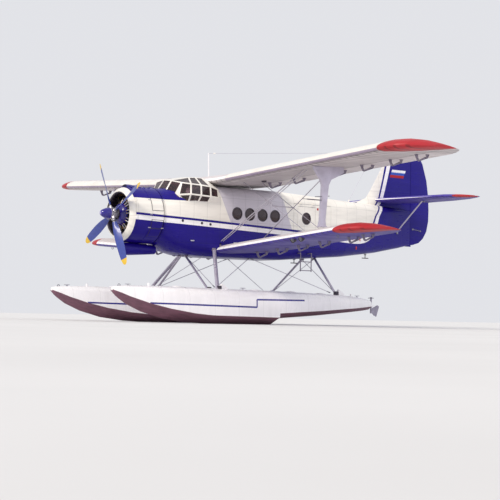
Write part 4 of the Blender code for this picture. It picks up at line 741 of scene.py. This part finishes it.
class FLOATPLANE_OT_nose(bpy.types.Operator):
    """Paints the cowling, and adds the engine's fittings, the cowl's doors, straps and scoops, and the oil cooler"""

    bl_idname = "floatplane.nose"
    bl_label = "Nose and engine"

    def execute(self, context):
        # Painted shade: the cowl's inner faces take the dark shadow grey
        dressed("cowling", ("hull", "dark"), 40, inner_faces(0.0, 0.01))
        dressed("engine", "castings", 32)
        # Painted shade: the faces deep inside the oil cooler's mouth are black
        dressed("oil_cooler", ("hull", "black"), 35, in_shaded_mouth)
        dressed("exhaust_pipe", "exhaust", 40)

        # Fins of a cylinder's barrel, and deeper ones of its head: first, pitch, thickness and the radius of each
        fin_rows = ((0.330, 0.022, 0.007, [0.118] * 7 + [0.140] * 4), (0.585, 0.024, 0.008, [0.150] * 4))
        fins, rockers, rods, harness = bmesh.new(), bmesh.new(), bmesh.new(), bmesh.new()
        for number in range(CYLINDERS):
            out, across, turn = round_engine(number * 360 / CYLINDERS)
            for first, pitch, thickness, radii in fin_rows:
                for step, radius in enumerate(radii):
                    foot = at(ENGINE_STATION) + out * (first + step * pitch)
                    rod(fins, foot, foot + out * thickness, radius, steps=20)
            for offset in (-0.075, 0.075):
                bar(rockers, at(0.985) + out * 0.700 + across * offset, (0.15, 0.062, 0.065), 0.016, turn)
                foot, top = at(0.70) + out * 0.27 + across * offset * 0.5, at(0.925) + out * 0.67 + across * offset
                rod(rods, foot, top, 0.014)
                rod(rockers, foot, foot + (top - foot).normalized() * 0.05, 0.024)
            plug = at(0.915) + out * 0.60
            rod(harness, at(0.80) + out * 0.40, plug, 0.009)
            rod(harness, plug, plug + Vector((0.05, 0, 0)), 0.016)
        ring(harness, at(0.80), AFT, 0.40, 0.018, 48)
        piece(fins, "cylinder_fins", "castings")
        piece(rockers, "rocker_boxes", "brass")
        piece(rods, "pushrod_tubes", "aluminium")
        piece(harness, "ignition_harness", "brass")

        # Sheet baffles between the cylinder heads turn the air round their backs
        baffles = bmesh.new()
        for number in range(CYLINDERS):
            out, across, turn = round_engine((number + 0.5) * 360 / CYLINDERS)
            bar(baffles, at(1.02) + out * 0.60, (0.20, 0.13, 0.010), 0.003, turn)
            bar(baffles, at(0.93) + out * 0.52, (0.012, 0.05, 0.19), 0.003, turn)
        piece(baffles, "cylinder_baffles", "brass")

        # The reduction gear's casing in front of the crankcase, with its studs
        casing, studs = bmesh.new(), bmesh.new()
        casing_profile = [(0.575, 0.165), (0.585, 0.215), (0.620, 0.262), (0.665, 0.300)]
        casing_profile += [(0.735, 0.325), (0.735, 0.18), (0.62, 0.16)]
        lathe(casing, casing_profile, at(0), AFT, 48, closed=True)
        piece(casing, "gear_casing", "blue")
        for number in range(18):
            stud = round_engine(20 * number)[0] * 0.288
            rod(studs, at(0.640) + stud, at(0.672) + stud, 0.008, steps=6)
        piece(studs, "gear_casing_studs", "steel")

        # Straps round the cowl
        straps = bmesh.new()
        for s, radius in ((0.765, 0.803), (1.225, 0.820), (1.690, 0.820)):
            low, high = radius - 0.004, radius + 0.004
            section = [(-0.010, low), (-0.008, high), (0.008, high), (0.010, low)]
            lathe(straps, section, at(s), AFT, 72, closed=True)
        piece(straps, "cowl_straps", "hull")
        # Three doors on each side, between two angles. Each stands 4 mm over a dark border, the shadow of its gap
        doors, gaps = bmesh.new(), bmesh.new()
        door_front, door_back, door_foot = 1.270, 1.640, 0.816
        for side in (PORT, STARBOARD):
            for top, bottom in ((56, 82), (102, 118), (121, 139)):
                for shape, margin, radius in ((doors, 0.0, 0.828), (gaps, 0.013, 0.824)):
                    front, back, turn = door_front - margin, door_back + margin, math.degrees(margin / COWL_RADIUS)
                    section = [(front, door_foot), (front, radius), (back, radius), (back, door_foot)]
                    upper_edge = round_engine(side * (top - turn))[0]
                    sweep = math.radians(side * (top - bottom - 2 * turn))
                    lathe(shape, section, at(0), AFT, 8, closed=True, first=upper_edge, angle=sweep)
        for shape, name, kind in ((doors, "cowl_doors", "hull"), (gaps, "cowl_door_gaps", "dark")):
            bmesh.ops.holes_fill(shape, edges=shape.edges)
            piece(shape, name, kind)
        latches, louvres = bmesh.new(), bmesh.new()
        for degrees in (60, 90, 118, 242, 270, 300):
            out, across, turn = round_engine(degrees)
            for s in (1.225, 1.660):
                bar(latches, at(s) + out * 0.824, (0.085, 0.030, 0.018), 0.006, turn)
        piece(latches, "cowl_latches", "aluminium")
        for number in range(5):
            for degrees in (-15, 15):
                out, across, turn = round_engine(degrees)
                bar(louvres, at(0.90 + 0.145 * number) + out * 0.822, (0.050, 0.095, 0.028), 0.010, turn)
        piece(louvres, "cowl_louvres", "blue")

        # Two air scoops on top, spun round and then drawn out to nearly twice their width
        scoops, mouth_shades = bmesh.new(), bmesh.new()
        for s, level, radius, length in ((0.80, 0.790, 0.085, 0.50), (1.60, 0.795, 0.060, 0.26)):
            shares = ((0.0, 0.86), (0.015 / length, 1.0), (0.4, 0.96), (0.85, 0.5), (1.0, 0.0))
            lathe(scoops, [(a * length, r * radius) for a, r in shares], at(s, 0, level), AFT, 24)
            # Painted shade: a black dish closes each scoop's mouth
            dish = [(0.004, 0.0), (0.0, radius * 0.80), (0.006, radius * 0.87), (0.012, 0.0)]
            lathe(mouth_shades, dish, at(s, 0, level), AFT, 24)
        for shape in (scoops, mouth_shades):
            bmesh.ops.scale(shape, vec=(1, 1.9, 1), space=Matrix.Translation(-at(0)), verts=shape.verts)
        piece(scoops, "cowl_scoops", "blue")
        piece(mouth_shades, "cowl_scoop_mouth_shades", "black")

        lip, core = bmesh.new(), bmesh.new()
        ring(lip, at(0.742, 0, OIL_COOLER_LEVEL), AFT, 0.174, 0.016, 36)
        piece(lip, "oil_cooler_lip", "cream")
        for number in range(-3, 4):
            off = number * 0.045
            half = math.sqrt(0.158**2 - off**2)
            low, high = OIL_COOLER_LEVEL - half, OIL_COOLER_LEVEL + half
            level = OIL_COOLER_LEVEL + off
            rod(core, at(0.900, off, low), at(0.900, off, high), 0.006, steps=6)
            rod(core, at(0.905, -half, level), at(0.905, half, level), 0.006, steps=6)
        piece(core, "oil_cooler_core", "steel")
        return {"FINISHED"}


class FLOATPLANE_OT_propeller(bpy.types.Operator):
    """Paints the propeller and spinner, and adds the blade cuffs and counterweights"""

    bl_idname = "floatplane.propeller"
    bl_label = "Propeller"

    def execute(self, context):
        dressed("propeller", "blade", 40)
        dressed("spinner", "spinner", 45)
        cuffs, weights = bmesh.new(), bmesh.new()
        cuff_profile = [(0.10, 0.0), (0.10, 0.060), (0.15, 0.072), (0.19, 0.072)]
        cuff_profile += [(0.20, 0.060), (0.235, 0.058), (0.25, 0.0)]
        hub = at(PROPELLER_STATION)
        for number in range(4):
            out, across, _ = round_engine(28 + 90 * number)
            lathe(cuffs, cuff_profile, hub, out, 24)
            arm = (across * 0.8 + Vector((-0.6, 0, 0))).normalized() * 0.115
            rod(weights, hub + out * 0.17, hub + out * 0.17 + arm, 0.026, 0.034, 14)
        piece(cuffs, "blade_cuffs", "aluminium", "propeller")
        piece(weights, "counterweights", "steel", "propeller")
        return {"FINISHED"}


CANOPY_ROWS = (
    # (station, side, level) of each point from the middle of the roof down to the sill
    ((1.92, 0.00, 0.780), (1.97, 0.36, 0.730), (2.12, 0.62, 0.580), (2.24, 0.76, 0.470), (2.34, 0.80, 0.36)),
    ((2.15, 0.00, 1.100), (2.15, 0.40, 1.060), (2.30, 0.72, 0.990), (2.20, 0.73, 0.620), (2.38, 0.80, 0.40)),
    ((2.74, 0.00, 1.215), (2.70, 0.48, 1.180), (2.54, 0.86, 0.960), (2.46, 0.99, 0.640), (2.48, 0.83, 0.42)),
    ((2.94, 0.00, 1.230), (2.92, 0.50, 1.195), (2.87, 0.90, 0.945), (2.82, 1.00, 0.625), (2.80, 0.86, 0.43)),
    ((3.14, 0.00, 1.225), (3.15, 0.50, 1.190), (3.20, 0.90, 0.920), (3.16, 1.00, 0.610), (3.14, 0.86, 0.43)),
    ((3.28, 0.00, 1.210), (3.27, 0.50, 1.170), (3.49, 0.87, 0.855), (3.46, 0.965, 0.595), (3.45, 0.86, 0.43)),
)
# Which panes each bay of the canopy has, counted from the port sill over the roof to the starboard sill
CANOPY_PANES = ((2, 3, 4, 5), (0, 1, 2, 5, 6, 7), (0, 1, 2, 5, 6, 7), (0, 1, 2, 5, 6, 7), (1, 6))


def stuffed(name, size, thin):
    """A leather cushion blown up by simulated cloth, then drawn in along two sewn channels. Thin is its short axis."""
    shape = bmesh.new()
    bar(shape, Vector(), size, min(size) * 0.42, segments=3)
    obj = new_object(shape, name)
    scene = bpy.context.scene
    remesh = obj.modifiers.new("remesh", "REMESH")
    remesh.mode = "VOXEL"
    # Twice the voxel that a bare cushion gets, because these are seen only through the canopy
    remesh.voxel_size = 0.010
    cloth = obj.modifiers.new("cloth", "CLOTH")
    cloth.settings.use_pressure = True
    cloth.settings.uniform_pressure_force = 4.0
    cloth.settings.effector_weights.gravity = 0.0
    graph = bpy.context.evaluated_depsgraph_get()
    scene.frame_set(1)
    before = [vert.co.copy() for vert in obj.evaluated_get(graph).data.vertices]
    for step in range(2, 21):
        scene.frame_set(step)
    blown = bpy.data.meshes.new_from_object(obj.evaluated_get(bpy.context.evaluated_depsgraph_get()))
    scene.frame_set(1)
    bpy.data.objects.remove(obj)

    # No point moves more than 10 mm, and the channels are 28 mm wide and 6 mm deep
    shape = bmesh.new()
    shape.from_mesh(blown)
    for vert, start in zip(shape.verts, before):
        moved = vert.co - start
        vert.co = start + moved * min(1.0, 0.010 / max(moved.length, 1e-6))
    bmesh.ops.subdivide_edges(shape, edges=shape.edges, cuts=1, smooth=1.0, use_grid_fill=True)
    for vert in shape.verts:
        off_channel = min(abs(vert.co.y - place) for place in (-0.065, 0.065)) / 0.014
        if off_channel < 1.0:
            vert.co[thin] -= math.copysign(0.006 * (1 + math.cos(math.pi * off_channel)) / 2, vert.co[thin])
    shape.to_mesh(blown)
    shape.free()
    return blown


class FLOATPLANE_OT_cockpit(bpy.types.Operator):
    """Glazes the canopy and furnishes the cockpit: seats, cushions, control columns and dials"""

    bl_idname = "floatplane.cockpit"
    bl_label = "Cockpit"

    def execute(self, context):
        dressed("canopy_frame", "cream", 25)
        glass, grid = bmesh.new(), []
        for row in CANOPY_ROWS:
            port_row = [at(s, PORT * y, h) for s, y, h in reversed(row[1:])]
            grid.append([glass.verts.new(place) for place in port_row + [at(*place) for place in row]])
        for bay, panes in enumerate(CANOPY_PANES):
            for j in panes:
                glass.faces.new((grid[bay][j], grid[bay][j + 1], grid[bay + 1][j + 1], grid[bay + 1][j]))
        bmesh.ops.delete(glass, geom=[vert for vert in glass.verts if not vert.link_faces], context="VERTS")
        bmesh.ops.recalc_face_normals(glass, faces=glass.faces)
        if sum(face.normal.z for face in glass.faces) < 0:
            bmesh.ops.reverse_faces(glass, faces=glass.faces)
        # The panes lie in the middle of the frame's depth
        glass.normal_update()
        for vert in glass.verts:
            vert.co -= vert.normal * 0.010 * vert.calc_shell_factor()
        bmesh.ops.solidify(glass, geom=glass.faces, thickness=sizes().pane)
        piece(glass, "canopy_glass", "glass", sharp=3)

        cushions = {
            "base": (stuffed("cushion_base", (0.365, 0.385, 0.046), 2), 3.17, -0.400),
            "back": (stuffed("cushion_back", (0.058, 0.385, 0.72), 0), 3.402, 0.03),
        }
        pan_level, foot_level = -0.44, CREW_FLOOR + 0.001
        for side, word in SIDES:
            y = side * SEAT_Y
            seat, column = bmesh.new(), bmesh.new()
            bar(seat, at(3.19, y, pan_level), (0.44, 0.44, 0.05), 0.02)
            bar(seat, at(3.455, y, 0.02), (0.03, 0.44, 0.86), 0.012)
            for s in (3.02, 3.36):
                for leg_y in (y - 0.18, y + 0.18):
                    rod(seat, at(s, leg_y, foot_level), at(s, leg_y, pan_level), 0.016)
            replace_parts(piece(seat, f"seat_frame_{word}", "grey"), f"pilot_seat_{word}")
            for label, (mesh, s, h) in cushions.items():
                pad = bmesh.new()
                pad.from_mesh(mesh)
                bmesh.ops.translate(pad, vec=at(s, y, h), verts=pad.verts)
                piece(pad, f"seat_cushion_{label}_{word}", "leather", sharp=80)

            rod(column, at(2.62, y, foot_level), at(2.72, y, 0.10), 0.018)
            ring(column, at(2.735, y, 0.16), (0.94, 0, 0.34), 0.13, 0.013, 28)
            rod(column, at(2.725, y - 0.13, 0.165), at(2.725, y + 0.13, 0.165), 0.010)
            piece(column, f"control_column_{word}", "black")

        dials, bezels = bmesh.new(), bmesh.new()
        bezel_profile = [(0.0, 0.062), (0.010, 0.060), (0.010, 0.054), (0.0, 0.054)]
        for y in (-0.52, -0.36, -0.20, 0.0, 0.20, 0.36, 0.52):
            for h in (0.42, 0.24):
                centre = at(2.341, y, h)
                lathe(bezels, bezel_profile, centre, AFT, 20, closed=True)
                lathe(dials, [(0.0, 0.0), (0.003, 0.050), (0.0, 0.053)], centre, AFT, 20)
        piece(bezels, "dial_bezels", "aluminium")
        piece(dials, "dial_faces", "white")
        return {"FINISHED"}


def hangs_under(wing):
    """Tells the faces of the hinge brackets from those of the wing over them. They are small upright faces just
    under the wing's level, and all faces further under it than the skin reaches."""
    first_x = wing["lead"] + 0.55 * wing["chord"] - MIDDLE_STATION
    side_area, side_depth, skin_depth = 0.02, 0.03, 0.085

    def is_hook(face):
        middle = face.calc_center_median()
        depth = wing["level"] + THRUST_HEIGHT + abs(middle.y) * wing["slope"] - middle.z
        is_side = abs(face.normal.y) > 0.9 and face.calc_area() < side_area and depth > side_depth
        return middle.x > first_x and (is_side or depth > skin_depth)

    return is_hook


class FLOATPLANE_OT_wings(bpy.types.Operator):
    """Covers the wings, slats, flaps and ailerons, and adds the lamps, filler caps, pitot head and tie-down eyes"""

    bl_idname = "floatplane.wings"
    bl_label = "Wings"

    def execute(self, context):
        dressed("wing_centre", "dope", 30)
        dressed("aerial_mast", "white", 50)
        tip_profile = [(-0.05, 0.0), (-0.045, 0.018), (-0.02, 0.030), (0.02, 0.030), (0.07, 0.012), (0.09, 0.0)]
        for side, word in SIDES:
            for part, cover in (("upper_wing", "dope"), ("upper_flap", "flap_dope"), ("aileron", "flap_dope")):
                dressed(f"{part}_{word}", (cover, "hook"), 28, hangs_under(UPPER))
            dressed(f"slat_{word}", "slat", 30)
            for part in ("lower_wing", "lower_flap"):
                dressed(f"{part}_{word}", ("blue_dope", "hook"), 28, hangs_under(LOWER))

            # Lamp on the tip of the upper wing, red to port and green to starboard, and an eye under the lower wing
            lamp, eye = bmesh.new(), bmesh.new()
            centre = on_wing(UPPER, 0.27, side * (UPPER["span"] - 0.42), 0.03)
            lathe(lamp, tip_profile, centre, (1, side * -0.6, 0), 18)
            piece(lamp, f"tip_lamp_{word}", "red_lamp" if side == PORT else "green_lamp")
            ring(eye, on_wing(LOWER, 0.45, side * 5.9, -0.115), ACROSS, 0.035, 0.008, 20)
            piece(eye, f"tie_down_eye_{word}", "steel")

        # Two landing lamps under the leading edge of the port lower wing, and one near the port upper wing's root
        shells, lenses, root_lamp = bmesh.new(), bmesh.new(), bmesh.new()
        shell_profile = [(-0.12, 0.0), (-0.10, 0.055), (-0.02, 0.085), (0.055, 0.090), (0.064, 0.085), (0.055, 0.078)]
        for y in (4.42, 4.78):
            centre = on_wing(LOWER, 0.10, PORT * y, -0.055)
            lathe(shells, shell_profile, centre, (-0.90, 0, -0.44), 28)
            lathe(lenses, [(0.048, 0.079), (0.062, 0.060), (0.070, 0.0)], centre, (-0.90, 0, -0.44), 28)
        piece(shells, "landing_lamp_shells", "dark")
        piece(lenses, "landing_lamp_lenses", "clear")
        root_profile = [(-0.03, 0.0), (-0.02, 0.075), (0.01, 0.080), (0.035, 0.060), (0.045, 0.0)]
        lathe(root_lamp, root_profile, on_wing(UPPER, 0.95, PORT * 2.05, -0.085), DOWN, 24)
        piece(root_lamp, "wing_root_lamp", "dark")

        # Filler caps of the four tanks in the upper wing, each in a shallow dished ring
        caps = bmesh.new()
        dish = [(-0.03, 0.0), (-0.03, 0.075), (0.004, 0.075), (0.006, 0.060)]
        dish += [(0.0, 0.052), (0.010, 0.040), (0.012, 0.0)]
        for y in (-1.45, -2.65, 1.45, 2.65):
            lathe(caps, dish, on_wing(UPPER, 0.72, y, 0.243), UP, 24)
        piece(caps, "filler_caps", "aluminium")

        pitot, y = bmesh.new(), PORT * 5.30
        rod(pitot, at(4.02, y, 0.32), at(3.36, y, 0.32), 0.016)
        rod(pitot, at(3.36, y, 0.32), at(3.18, y, 0.32), 0.010, 0.006)
        rod(pitot, at(4.12, y, 0.45), at(3.62, y, 0.40), 0.010)
        piece(pitot, "pitot_head", "steel")
        return {"FINISHED"}


class FLOATPLANE_OT_tail(bpy.types.Operator):
    """Covers the tailplane and elevators, and fits the ends of its struts"""

    bl_idname = "floatplane.tail"
    bl_label = "Tail"

    def execute(self, context):
        for side, word in SIDES:
            dressed(f"tailplane_{word}", "tail_dope", 32)
            dressed(f"elevator_{word}", "tail_dope", 32)
            dressed(f"tailplane_strut_{word}", "silver", 50)
            ends = bmesh.new()
            bar(ends, at(11.13, side * 0.235, -0.02), (0.07, 0.05, 0.09), 0.012)
            bar(ends, at(11.00, side * 1.64, 0.935), (0.06, 0.07, 0.04), 0.010)
            piece(ends, f"tail_strut_fittings_{word}", "steel")
        return {"FINISHED"}


# (station, height over the floor) of the float's chine, with the step near 4.86 m, and its outer part as (s, y, z)
CHINE = (
    (-0.55, 0.892), (-0.525, 0.868), (-0.465, 0.842), (-0.36, 0.802), (-0.10, 0.70), (0.40, 0.55), (1.10, 0.40),
    (1.90, 0.285), (2.50, 0.24), (4.85, 0.215), (4.87, 0.335), (6.60, 0.445), (7.90, 0.545), (8.65, 0.615),
)
CHINE_STRIP = (
    (0.40, 0.395, 0.55), (1.10, 0.465, 0.40), (1.90, 0.50, 0.285), (2.50, 0.505, 0.24), (4.84, 0.505, 0.215),
)


def under_chine(face):
    """Whether a face of a float belongs to its bottom, between the keel and the chine."""
    slack, depth, inboard_limit = 0.001, 0.004, 1.0
    middle = face.calc_center_median()
    s = middle.x + MIDDLE_STATION
    for (s0, z0), (s1, z1) in zip(CHINE, CHINE[1:]):
        if s0 - slack <= s <= s1 + slack:
            chine = z0 + (z1 - z0) * (s - s0) / (s1 - s0)
            return middle.z < chine - depth and abs(middle.y) > inboard_limit
    return False


class FLOATPLANE_OT_floats(bpy.types.Operator):
    """Paints the floats and struts, and adds hatches, cleats, towing rings, fairings, chine strips and tillers"""

    bl_idname = "floatplane.floats"
    bl_label = "Floats"

    def execute(self, context):
        hatch_profile = [(-0.01, 0.145), (0.010, 0.140), (0.016, 0.120), (0.020, 0.02), (0.030, 0.0)]
        for side, word in SIDES:
            dressed(f"float_{word}", ("float", "keel"), 30, under_chine)
            dressed(f"water_rudder_{word}", "plate", 40)
            for part in ("main", "inner", "rear"):
                dressed(f"float_strut_{part}_{word}", "silver", 50)
            y = side * FLOAT_Y

            hatches, cleats, tow = bmesh.new(), bmesh.new(), bmesh.new()
            for s, level in ((1.55, -2.070), (4.30, -2.100), (5.60, -2.118), (6.75, -2.140)):
                lathe(hatches, hatch_profile, at(s, y, level), UP, 28)
            piece(hatches, f"float_hatches_{word}", "white")
            for s, level in ((-0.05, -2.095), (3.85, -2.100), (8.20, -2.215)):
                bar(cleats, at(s, y, level + 0.022), (0.05, 0.04, 0.044), 0.01)
                rod(cleats, at(s - 0.09, y, level + 0.045), at(s + 0.09, y, level + 0.045), 0.010)
            piece(cleats, f"float_cleats_{word}", "aluminium")
            ring(tow, at(-0.33, y, -2.085), ACROSS, 0.034, 0.009, 24)
            bar(tow, at(-0.33, y, -2.102), (0.11, 0.05, 0.02), 0.006)
            piece(tow, f"tow_ring_{word}", "steel")

            # A fairing behind the foot of each strut, and the bracket that clasps it
            fairings, brackets = bmesh.new(), bmesh.new()
            corners = ((-0.02, -0.06, 0.0), (0.30, -0.03, -0.01), (0.26, -0.02, 0.06), (0.06, -0.05, 0.16))
            for s, out, level in ((2.95, 1.83, -2.115), (7.40, 1.70, -2.160)):
                outline = [at(s + ds, side * out + dy, level + dh) for ds, dy, dh in corners]
                slab(fairings, outline, Vector((0, 0.10, 0)))
                bar(brackets, at(s - 0.02, side * out, level + 0.04), (0.10, 0.16, 0.13), 0.02)
            bar(brackets, at(2.86, side * 1.44, -2.09), (0.10, 0.12, 0.09), 0.02)
            piece(fairings, f"strut_fairings_{word}", "white")
            piece(brackets, f"strut_brackets_{word}", "dark")

            # Rub strip along the chine, in straight lengths, and the water rudder's tiller with its two collars
            strip, tiller = bmesh.new(), bmesh.new()
            for edge in (-1, 1):
                places = [at(s, y + edge * out, z - THRUST_HEIGHT + 0.006) for s, out, z in CHINE_STRIP]
                for start, end in zip(places, places[1:]):
                    rod(strip, start, end, 0.011, steps=8)
            piece(strip, f"chine_strip_{word}", "float")
            upper, lower = (at(STERN_STATION + 0.12, y, level) for level in (-2.225, -2.515))
            bar(tiller, upper, (0.045, 0.24, 0.018), 0.006)
            lathe(tiller, [(0.0, 0.036), (0.03, 0.036), (0.03, 0.0)], upper, UP, 18)
            lathe(tiller, [(0.0, 0.034), (0.0, 0.036), (0.03, 0.036), (0.03, 0.034)], lower, UP, 18, closed=True)
            piece(tiller, f"water_rudder_tiller_{word}", "steel", f"water_rudder_{word}")
        return {"FINISHED"}


# Each wire between the hull and a float, from its inner to its outer end as (station, side, level)
FLOAT_WIRES = (
    ((4.88, 0.58, -1.12), (2.99, 1.60, -2.05)),
    ((4.92, 0.58, -1.12), (7.20, 1.64, -2.10)),
    ((7.60, 0.32, -1.02), (7.40, -1.62, -2.10)),
    ((3.36, 0.76, -0.98), (2.92, -1.62, -2.05)),
)
# Plates at the hull where the float struts, the wing spars and their wires come together, each with its size
HULL_BRACKETS = (
    ((3.40, 0.845, -0.90), (0.13, 0.035, 0.14)), ((3.62, 0.865, -0.80), (0.07, 0.030, 0.17)),
    ((4.92, 0.60, -1.085), (0.12, 0.07, 0.03)), ((2.87, 0.15, -1.115), (0.12, 0.12, 0.03)),
    ((7.60, 0.31, -1.03), (0.13, 0.09, 0.04)),
)


class FLOATPLANE_OT_bracing(bpy.types.Operator):
    """Finishes the interplane struts, wires and ladder, and adds the float wires, brackets, spreaders and aerial"""

    bl_idname = "floatplane.bracing"
    bl_label = "Bracing and aerial"

    def execute(self, context):
        thin, line = sizes().rigging, sizes().aerial
        for side, word in SIDES:
            dressed(f"interplane_strut_{word}", "silver", 40)
            for kind in ("flying_wire_front", "flying_wire_rear", "landing_wire_front", "landing_wire_rear"):
                dressed(f"{kind}_{word}", "wire", 60)

            wires, ends, plates, spreader = bmesh.new(), bmesh.new(), bmesh.new(), bmesh.new()
            for places in FLOAT_WIRES:
                start, end = (at(s, side * y, h) for s, y, h in places)
                rod(wires, start, end, thin, steps=8)
                along = (end - start).normalized() * 0.12
                rod(ends, start, start + along, thin * 1.9, thin * 1.3, 10)
                rod(ends, end, end - along, thin * 1.9, thin * 1.3, 10)
            # The second wire of each front flying pair runs 60 mm behind the first
            rod(wires, at(3.70, side * 0.62, -0.80), at(3.94, side * 4.98, 1.42), 0.012, steps=8)
            piece(wires, f"float_wires_{word}", "wire")
            piece(ends, f"wire_terminals_{word}", "steel")
            for (s, y, h), size in HULL_BRACKETS:
                bar(plates, at(s, side * y, h), size, 0.008)
            piece(plates, f"hull_brackets_{word}", "hook")

            # A spreader keeps the crossing wires apart
            y = side * 3.05
            rod(spreader, at(3.84, y, 0.28), at(4.66, y, 0.28), 0.014)
            rod(spreader, at(3.84, y, 0.16), at(3.84, y, 0.40), 0.014)
            piece(spreader, f"wire_spreader_{word}", "wire")

        aerial, beads = bmesh.new(), bmesh.new()
        mast_top, fin_top, lead_foot = at(3.72, 0, 2.005), at(10.98, 0, 2.62), at(9.20, 0, 0.86)
        joint = mast_top.lerp(fin_top, 0.90)
        rod(aerial, mast_top, fin_top, line, steps=6)
        rod(aerial, lead_foot, joint, line, steps=6)
        piece(aerial, "aerial_wire", "wire")
        bead = [(-0.05, 0.0), (-0.045, 0.012), (-0.02, 0.020), (0.02, 0.020), (0.045, 0.012), (0.05, 0.0)]
        for a, b, share in ((mast_top, fin_top, 0.03), (mast_top, fin_top, 0.96), (lead_foot, joint, 0.04)):
            lathe(beads, bead, a.lerp(b, share), b - a, 14)
        piece(beads, "aerial_insulators", "cream")
        dressed("boarding_ladder", "hook", 40)
        return {"FINISHED"}


class FLOATPLANE_OT_stage(bpy.types.Operator):
    """Sets the pale floor, the soft lights and the camera"""

    bl_idname = "floatplane.stage"
    bl_label = "Stage"

    def execute(self, context):
        scene = context.scene
        floor = bmesh.new()
        bmesh.ops.create_circle(floor, cap_ends=True, segments=96, radius=900.0)
        bmesh.ops.translate(floor, vec=(0, 0, -0.001), verts=floor.verts)
        floor = new_object(floor, "studio_floor")
        floor.data.materials.append(floor_plaster("floor_plaster"))

        scene.world = bpy.data.worlds.new("studio_air")
        scene.world.use_nodes = True
        air = scene.world.node_tree.nodes["Background"]
        air.inputs["Color"].default_value = linear("#F2F3F8")
        air.inputs["Strength"].default_value = 0.86
        # The plain tone curve keeps the enamels as deep as they are in the photograph
        scene.view_settings.view_transform = "Standard"

        for name, turn, strength, spread, colour in (
            ("key_light", (48, 0, -66), 1.7, 14, "#FFF6EA"),
            ("fill_light", (70, 0, 25), 0.35, 60, "#E9EDFF"),
        ):
            light = bpy.data.lights.new(name, "SUN")
            light.energy, light.angle, light.color = strength, math.radians(spread), linear(colour)[:3]
            lamp = bpy.data.objects.new(name, light)
            lamp.rotation_euler = [math.radians(degrees) for degrees in turn]
            scene.collection.objects.link(lamp)

        # The photograph looks up from below, so the camera stands low, 0.2 m over the floor and 45 m away
        place, (yaw, pitch, roll) = (-27.01, -36.09, 0.2), map(math.radians, (36.03, 2.65, 1.17))
        focal_pixels, picture_pixels = 1456, 500
        camera = bpy.data.cameras.new("camera")
        camera.sensor_width = 36.0
        camera.lens = focal_pixels / picture_pixels * camera.sensor_width
        camera.clip_end = 4000.0
        view = bpy.data.objects.new("camera", camera)
        scene.collection.objects.link(view)
        look = Vector((math.sin(yaw) * math.cos(pitch), math.cos(yaw) * math.cos(pitch), math.sin(pitch)))
        right = Vector((math.cos(yaw), -math.sin(yaw), 0))
        over = right.cross(look)
        tilted = right * math.cos(roll) + over * math.sin(roll)
        upright = over * math.cos(roll) - right * math.sin(roll)
        axes = Matrix((tilted, upright, -look)).transposed()
        view.matrix_world = Matrix.Translation(place) @ axes.to_4x4()
        scene.camera = view
        return {"FINISHED"}


class FLOATPLANE_PT_panel(bpy.types.Panel):
    """Lists the floatplane's pieces, paints and sizes"""

    bl_idname = "FLOATPLANE_PT_panel"
    bl_label = "Floatplane"
    bl_space_type = "VIEW_3D"
    bl_region_type = "UI"
    bl_category = "Floatplane"

    def draw(self, context):
        for maker in MAKERS:
            self.layout.operator(maker.bl_idname)
        for group in (paints(), sizes()):
            for key in group.__annotations__:
                self.layout.prop(group, key)


MAKERS = (
    FLOATPLANE_OT_stage,
    FLOATPLANE_OT_hull,
    FLOATPLANE_OT_nose,
    FLOATPLANE_OT_propeller,
    FLOATPLANE_OT_cockpit,
    FLOATPLANE_OT_wings,
    FLOATPLANE_OT_tail,
    FLOATPLANE_OT_floats,
    FLOATPLANE_OT_bracing,
)
CLASSES = (FloatplanePaints, FloatplaneSizes, *MAKERS, FLOATPLANE_PT_panel)


def register():
    for each in CLASSES:
        bpy.utils.register_class(each)
    bpy.types.Scene.floatplane_paints = bpy.props.PointerProperty(type=FloatplanePaints)
    bpy.types.Scene.floatplane_sizes = bpy.props.PointerProperty(type=FloatplaneSizes)


def unregister():
    del bpy.types.Scene.floatplane_sizes
    del bpy.types.Scene.floatplane_paints
    for each in reversed(CLASSES):
        bpy.utils.unregister_class(each)


def main():
    register()
    for maker in MAKERS:
        group, name = maker.bl_idname.split(".")
        getattr(getattr(bpy.ops, group), name)()


if __name__ == "__main__":
    main()
